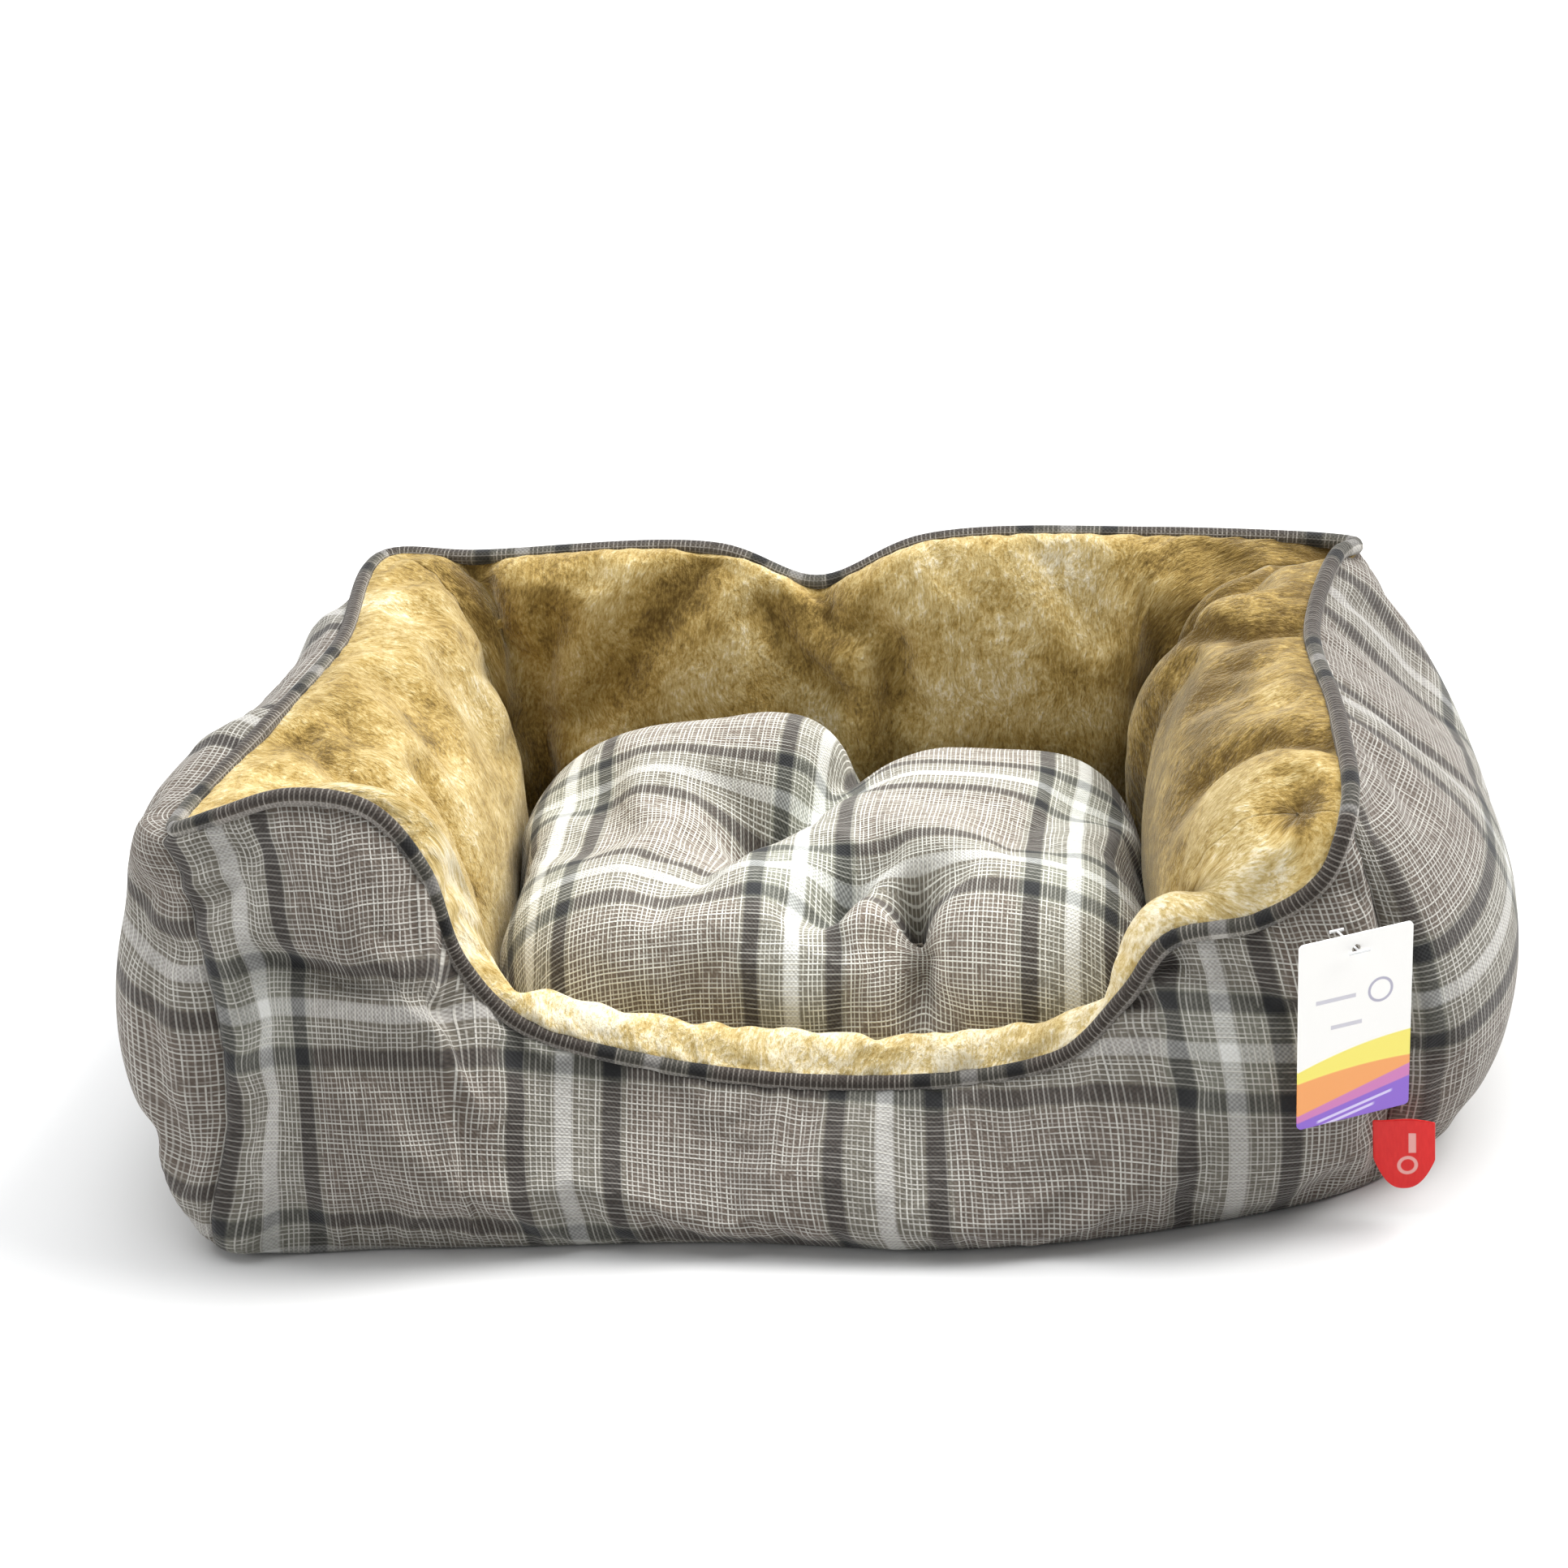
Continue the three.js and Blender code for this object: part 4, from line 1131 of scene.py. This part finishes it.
def cushion_cover(side, grid, cut, faces, origin, gathered, material):
    """One face of the cushion's cover. cut is the face that its cloth is cut for, and grid is that face
    as it ends up."""
    places = centred_places(cut, origin)
    width, length = np.ptp(places.reshape(-1, 2), axis=0).tolist()
    behind = np.where(places[..., 1] > 0, gathered["behind"], 1.0)
    uv = (places * np.stack([np.full(behind.shape, gathered["across"]), behind], axis=2)).reshape(-1, 2)
    points = grid.reshape(-1, 3)
    cover = make_piece(f"cushion_{side}_cloth", points, faces, material, "cushion", uv=uv)
    thicken(cover, THICKNESS["cushion"])
    area = min(surface_area(cut), width * length)
    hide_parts(f"cushion_{side}_cover")


def make_cushion(looks):
    """The cushion's two covers, its filling and the stitches that draw it in."""
    top = cushion_face(TOP_FLATNESS, CUSHION["top"], CUSHION_SWELLS)
    bottom = cushion_face(BOTTOM_FLATNESS, CUSHION["bottom"], [])
    shaped = settled_cushion(dented(top))
    faces = grid_faces(*top.shape[:2])
    cushion_cover("top", shaped, top, faces, CUSHION_PLAID, GATHERED, looks["cushion"])
    cushion_cover("bottom", bottom, bottom, faces[:, ::-1], (0, 0), UNGATHERED, looks["cushion"])
    fill = cushion_stuffing(shaped, bottom, looks["fibre"])
    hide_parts("cushion_fill")
    for side, (x, y) in CUSHION_TACKS.items():
        make_tack(side, x, y, shaped, looks["thread"])


# The filling is lower than the lowest place on the cover within so many cells, by a little; it starts
# over the bottom cover, and is at least so thick.
FILLING = {"cells": 3, "under_top": 4, "over_bottom": 3, "least": 1}


def cushion_stuffing(top, bottom, material):
    """The cushion's filling, which keeps clear of both covers."""
    reach = FILLING["cells"]
    rows, columns = top.shape[:2]
    core = (slice(reach, rows - reach), slice(reach, columns - reach))
    lowest = top[core][..., 2]
    for a in range(2 * reach + 1):
        for b in range(2 * reach + 1):
            lowest = np.minimum(lowest, top[a:rows - 2 * reach + a, b:columns - 2 * reach + b, 2])
    low = bottom[core][..., 2] + FILLING["over_bottom"]
    high = np.maximum(lowest - FILLING["under_top"], low + FILLING["least"])
    x, y = top[core][..., 0], top[core][..., 1]
    return closed_pad("cushion_stuffing", x, y, high, low, material, "cushion")


# How the cushion's cloth settles, how firmly it keeps its place, and how far the stitches hold it.
CUSHION_CLOTH = {"spare": 0.06, "pressure": 0.9, "bending": 0.6, "frames": 20, "most": 7.0}
CUSHION_HOLD = {"dent": 0.4, "elsewhere": 0.05}
TACK_REACH = 6


def settled_cushion(shaped):
    """The cushion's top after its cloth has settled over the filling; its edge and tacks are sewn."""
    rows, columns = shaped.shape[:2]
    hold = np.full((rows, columns), CUSHION_HOLD["elsewhere"])
    for path, radius, _, _ in CUSHION_DENTS:
        nearness = np.exp(-((distance_to_path(shaped[..., :2], path) / radius) ** 2))
        hold = np.maximum(hold, CUSHION_HOLD["dent"] * nearness)
    hold[(0, -1), :] = HOLD["sewn"]
    hold[:, (0, -1)] = HOLD["sewn"]
    for x, y in CUSHION_TACKS.values():
        near = np.hypot(shaped[..., 0] - x, shaped[..., 1] - y) < TACK_REACH
        hold[near] = HOLD["sewn"]
    faces = grid_faces(rows, columns)
    return settle(shaped.reshape(-1, 3), faces, hold.ravel(), **CUSHION_CLOTH).reshape(shaped.shape)


# A stitch's bar of thread: places along it and their heights. Then the radius of the bar, and the
# shank's under it, and how far from the covers the shank ends.
STITCH_BAR = [(-3.2, 0.2), (-2.6, 1.1), (0, 1.5), (2.6, 1.1), (3.2, 0.2)]
STITCH = {"bar": 0.8, "shank": 0.7, "over_top": 1.2, "over_bottom": 1, "sides": 8}


def make_tack(side, x, y, top, material):
    """A stitch that draws the cushion in: a short bar of thread over a shank that goes through it."""
    away = np.hypot(top[..., 0] - x, top[..., 1] - y)
    z = float(top[np.unravel_index(away.argmin(), away.shape)][2])
    path = [(x + along, y, z + rise) for along, rise in STITCH_BAR]
    ends = [(x, y, z + STITCH["over_top"]), (x, y, CUSHION["bottom"] + STITCH["over_bottom"])]
    points, faces = tube(np.array(path, float), STITCH["bar"], STITCH["sides"])
    shank, more = tube(np.array(ends, float), STITCH["shank"], STITCH["sides"])
    faces += [[k + len(points) for k in face] for face in more]
    both = np.concatenate([points, shank])
    tack = make_piece(f"cushion_stitch_{side}", both, faces, material, "cushion")
    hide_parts(f"cushion_tack_{side}")


def tube(path, radius, sides):
    """A closed tube along a path of points, with flat ends."""
    run = unit(np.gradient(path, axis=0))
    spare = np.array([1.0, 0, 0]) if abs(run[0][0]) < 0.9 else np.array([0, 1.0, 0])
    one = unit(np.cross(run, spare))
    two = np.cross(run, one)
    angle = np.linspace(0, 2 * np.pi, sides, endpoint=False)
    rings = path[:, None] + radius * (
        np.cos(angle)[None, :, None] * one[:, None] + np.sin(angle)[None, :, None] * two[:, None])
    faces = ring_faces(len(path), sides)
    faces.append(list(reversed(range(sides))))
    faces.append([(len(path) - 1) * sides + j for j in range(sides)])
    return rings.reshape(-1, 3), faces


# ---- the tag and the label ----

# Where the tag hangs, in millimetres, and which way it faces, in degrees.
TAG = {"at": (245, -180, 140), "turn": 27, "tilt": -2, "width": 0.052}
# The tag's colour bands: how far under its hole each one's top is at the left and at the right, how
# far that line bows up, and its colour. The rules on the last band: how far down, and their ends.
TAG_BANDS = [
    (-0.0525, -0.0435, 0.0020, "f7e96a"), (-0.0580, -0.0560, 0.0015, "f5a35a"),
    (-0.0735, -0.0600, 0.0, "cf79b8"), (-0.0768, -0.0660, 0.0, "8a5fd0"),
]
TAG_RULES = [(0.0035, 0.16, 0.86), (0.0062, 0.08, 0.70)]
TAG_RING = {"x": 0.0115, "z": -0.0215, "radius": 0.0052}
# The grey bars beside the ring: a middle, half a width and a height.
TAG_BARS = [(-0.009, 0.009, -0.0215), (-0.004, 0.007, -0.0345)]

# The label: its size and place in millimetres, its turn in degrees, how much of its rectangle it
# fills, and how high its lower edge curves up.
LABEL = {"width": 26, "height": 33, "at": (251, -165, 15), "turn": -4, "full": 0.88, "curve": 0.42}


def tag_material():
    """White card with sloping bands of colour, a plain ring and a few plain bars."""
    s = Shader("printed_card")
    hole = tuple(np.array(TAG["at"]) * MM + SHIFT)
    level = s.node("VectorMath", {0: s.object_place(), 1: hole}, operation="SUBTRACT")
    for turn in ((0, 0, -math.radians(TAG["turn"])), (0, math.radians(TAG["tilt"]), 0)):
        level = s.node("Mapping", {"Vector": level, "Rotation": turn})
    x, _, z = s.split(level)
    share = x / TAG["width"] + 0.5

    def under(left, right, bow):
        """How far a point is below a line across the card."""
        return share * (right - left) + left + share * (1.0 - share) * (4 * bow) - z

    colour = rgb("fbfaf7")
    for left, right, bow, hexes in TAG_BANDS:
        colour = s.mix(s.smooth(under(left, right, bow), -0.0004, 0.0004), colour, rgb(hexes))
    for drop, start, end in TAG_RULES:
        line = s.within(under(*TAG_BANDS[-1][:3]), drop, 0.0004, 0.0009)
        wide = s.smooth(share, start, start + 0.04) * s.smooth(share, end, end - 0.04)
        colour = s.mix(line * wide, colour, rgb("d9cdf3"))
    from_ring = s.node("CombineXYZ", {0: x - TAG_RING["x"], 2: z - TAG_RING["z"]})
    away = s.number("VectorMath", {0: from_ring}, 1, operation="LENGTH")
    colour = s.mix(s.within(away, TAG_RING["radius"], 0.0004, 0.0008) * 0.75, colour, rgb("8b86a8"))
    for middle, width, height in TAG_BARS:
        bar = s.within(x, middle, width, width + 0.0003) * s.within(z, height, 0.0008, 0.0011)
        colour = s.mix(bar * 0.5, colour, rgb("8b86a8"))
    grain = s.noise(s.object_place(), 1800.0, 3.0, 0.6)
    return s.finish(Base_Color=colour, Roughness=0.38, Normal=s.bump(grain, 0.00005, 0.5),
                    Coat_Weight=0.2, Coat_Roughness=0.25)


def label_material():
    """Glossy red satin ribbon with a plain pale ring and bar."""
    s = Shader("label_ribbon")
    whole, across, along = s.flat_cloth()
    rib = s.math("SINE", along * 9000.0)
    colour = s.mix(s.noise(s.scaled(whole, (900.0, 200.0, 1.0)), 1.0), rgb("d80f14"), rgb("ea2a26"))
    away = s.number("VectorMath", {0: whole, 1: (0.0145, 0.011, 0.0)}, 1, operation="DISTANCE")
    ring = s.within(away, 0.0036, 0.0005, 0.0010)
    bar = s.within(across, 0.0165, 0.0013, 0.0018) * s.within(along, 0.0215, 0.0044, 0.0050)
    colour = s.mix(s.math("MAXIMUM", ring, bar) * 0.75, colour, rgb("f3c3bd"))
    return s.finish(Base_Color=colour, Roughness=0.45, Normal=s.bump(rib, 0.00003, 0.4),
                    Specular_IOR_Level=0.3, Coat_Weight=0.1, Coat_Roughness=0.2)


def make_label(material):
    """A tongue of ribbon, sewn in along its top and one side, with a soft wave in it."""
    width, height = LABEL["width"], LABEL["height"]
    across, along = 22, 26
    points, places = [], []
    for a in np.linspace(0, 1, across + 1):
        low = height * LABEL["curve"] * (abs(2 * a - 1) ** 2.6)
        for b in np.linspace(0, 1, along + 1):
            x = a * width
            z = low + (height - low) * b
            wave = 1.6 * math.sin(a * 5.2 + b * 1.8) * (0.35 + 0.65 * a) + 2.0 * a * (1 - b)
            points.append((x, -wave, z))
            places.append((x * MM, z * MM))
    turn = math.radians(LABEL["turn"])
    cosine, sine = math.cos(turn), math.sin(turn)
    spin = np.array([(cosine, sine, 0), (-sine, cosine, 0), (0, 0, 1)])
    spun = np.array(points) @ spin + np.array(LABEL["at"])
    faces = grid_faces(across + 1, along + 1)
    label = make_piece("ribbon_label", spun, faces, material, "seam_label", uv=places)
    thicken(label, THICKNESS["label"])
    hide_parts("seam_label")


def dress(node, material):
    """Gives a CAD node that stays a better material."""
    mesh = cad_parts[node].data
    mesh.materials.clear()
    mesh.materials.append(material)


def nylon_material():
    """The clear nylon of the tag's fastener."""
    s = Shader("clear_nylon")
    return s.finish(Base_Color=(0.92, 0.93, 0.94, 1), Roughness=0.25, Transmission_Weight=0.4, IOR=1.5)


# ---- the stage ----

# The camera, in degrees and millimetres. aim is the point that it faces, and shift is how far the
# picture is moved across and up, as a share of its width.
CAMERA = {
    "yaw": 9.5, "pitch": 27.5, "roll": -5.5, "distance": 1598, "aim": (0, 0, 88.4), "sensor": 36,
    "lens": 77.702, "shift": (-0.02692, 0.05124),
}
# The lights: which way each one lies, its strength, how wide it looks in degrees, and its colour.
LIGHTS = {
    "key": ((0.72, 0.35, 0.70), 4.2, 40, (1.0, 0.99, 0.975)),
    "top": ((-0.10, 0.35, 1.0), 3.6, 70, (0.98, 0.99, 1.0)),
    "fill": ((-1.0, -0.25, 0.14), 2.2, 50, (1.0, 1.0, 1.0)),
}
# The light from all round, and the floor: half its width in metres, and how pale it is.
WORLD_LIGHT = 0.25
STUDIO_FLOOR = {"half_width": 30.0, "grey": 0.66}


def make_camera():
    """The camera, at the photograph's viewing angle."""
    yaw, pitch, roll = (math.radians(CAMERA[key]) for key in ("yaw", "pitch", "roll"))
    level_back = Vector((math.sin(yaw), -math.cos(yaw), 0))
    back = level_back * math.cos(pitch) + Vector((0, 0, math.sin(pitch)))
    level = Vector((math.cos(yaw), math.sin(yaw), 0))
    upright = back.cross(level)
    right = level * math.cos(roll) + upright * math.sin(roll)
    up = upright * math.cos(roll) - level * math.sin(roll)
    data = bpy.data.cameras.new("camera")
    data.sensor_width = CAMERA["sensor"]
    data.lens = CAMERA["lens"]
    data.shift_x, data.shift_y = CAMERA["shift"]
    camera = bpy.data.objects.new("camera", data)
    bpy.context.collection.objects.link(camera)
    aim = Vector(CAMERA["aim"]) * MM + Vector(SHIFT)
    place = aim + back * CAMERA["distance"] * MM
    axes = Matrix((right, up, back)).transposed().to_4x4()
    camera.matrix_world = Matrix.Translation(place) @ axes
    bpy.context.scene.camera = camera


def make_sun(name, towards, strength, softness, colour):
    """A broad soft light from one side."""
    data = bpy.data.lights.new(name, "SUN")
    data.energy = strength
    data.angle = math.radians(softness)
    data.color = colour
    lamp = bpy.data.objects.new(name, data)
    bpy.context.collection.objects.link(lamp)
    lamp.rotation_euler = Vector(towards).to_track_quat("Z", "Y").to_euler()


def make_stage():
    """The plain pale floor and the soft light."""
    half = STUDIO_FLOOR["half_width"]
    corners = [(-half, -half, 0), (half, -half, 0), (half, half, 0), (-half, half, 0)]
    mesh = bpy.data.meshes.new("floor")
    mesh.from_pydata(corners, [], [(0, 1, 2, 3)])
    floor = bpy.data.objects.new("floor", mesh)
    bpy.context.collection.objects.link(floor)
    pale = grey(STUDIO_FLOOR["grey"])
    material = Shader("floor").finish(Base_Color=pale, Roughness=0.9, Specular_IOR_Level=0.1)
    mesh.materials.append(material)
    world = bpy.data.worlds.new("studio")
    bpy.context.scene.world = world
    world.use_nodes = True
    background = world.node_tree.nodes["Background"].inputs
    background["Color"].default_value = grey(1.0)
    background["Strength"].default_value = WORLD_LIGHT
    for name, light in LIGHTS.items():
        make_sun(name, *light)
    bpy.context.scene.view_settings.view_transform = "Standard"


# What the plaid's colours are multiplied by on each part: the walls' copy is darker, as painted
# shade, and the cushion's lighter, as painted light; the piping's is darker still.
PLAID_PAINTED_LIGHT = {
    "walls": (0.60, 0.60, 0.595, 1), "cushion": (1.14, 1.17, 1.16, 1), "piping": (0.46, 0.44, 0.425, 1),
}


def main():
    """Makes the whole bed, its camera and its stage."""
    looks = {
        # The walls' and the cushion's plaid are one cloth: the walls' copy is painted darker as shade, the
        # cushion's lighter as light.
        "plaid": plaid_material("plaid_cloth", PLAID_PAINTED_LIGHT["walls"]),
        "cushion": plaid_material("cushion_cloth", PLAID_PAINTED_LIGHT["cushion"]),
        "piping": plaid_material("piping_cloth", PLAID_PAINTED_LIGHT["piping"]),
        "plush": plush_material("plush"),
        "fibre": felt_material("fibre_fill", "e6e4dd", "f6f5f1"),
        "black": felt_material("non_slip_cloth", "161617", "2a2a2c", 700.0),
        "cord": felt_material("cotton_cord", "d8d2c2", "eeeadd"),
        "thread": felt_material("thread", "6f685e", "9a9285", 2400.0),
    }
    make_camera()
    make_panels(looks)
    make_fillings(looks)
    make_underside(looks["black"])
    make_floor(looks)
    make_cushion(looks)
    make_label(label_material())
    dress("hang_tag", tag_material())
    dress("tag_fastener", nylon_material())
    make_stage()


main()
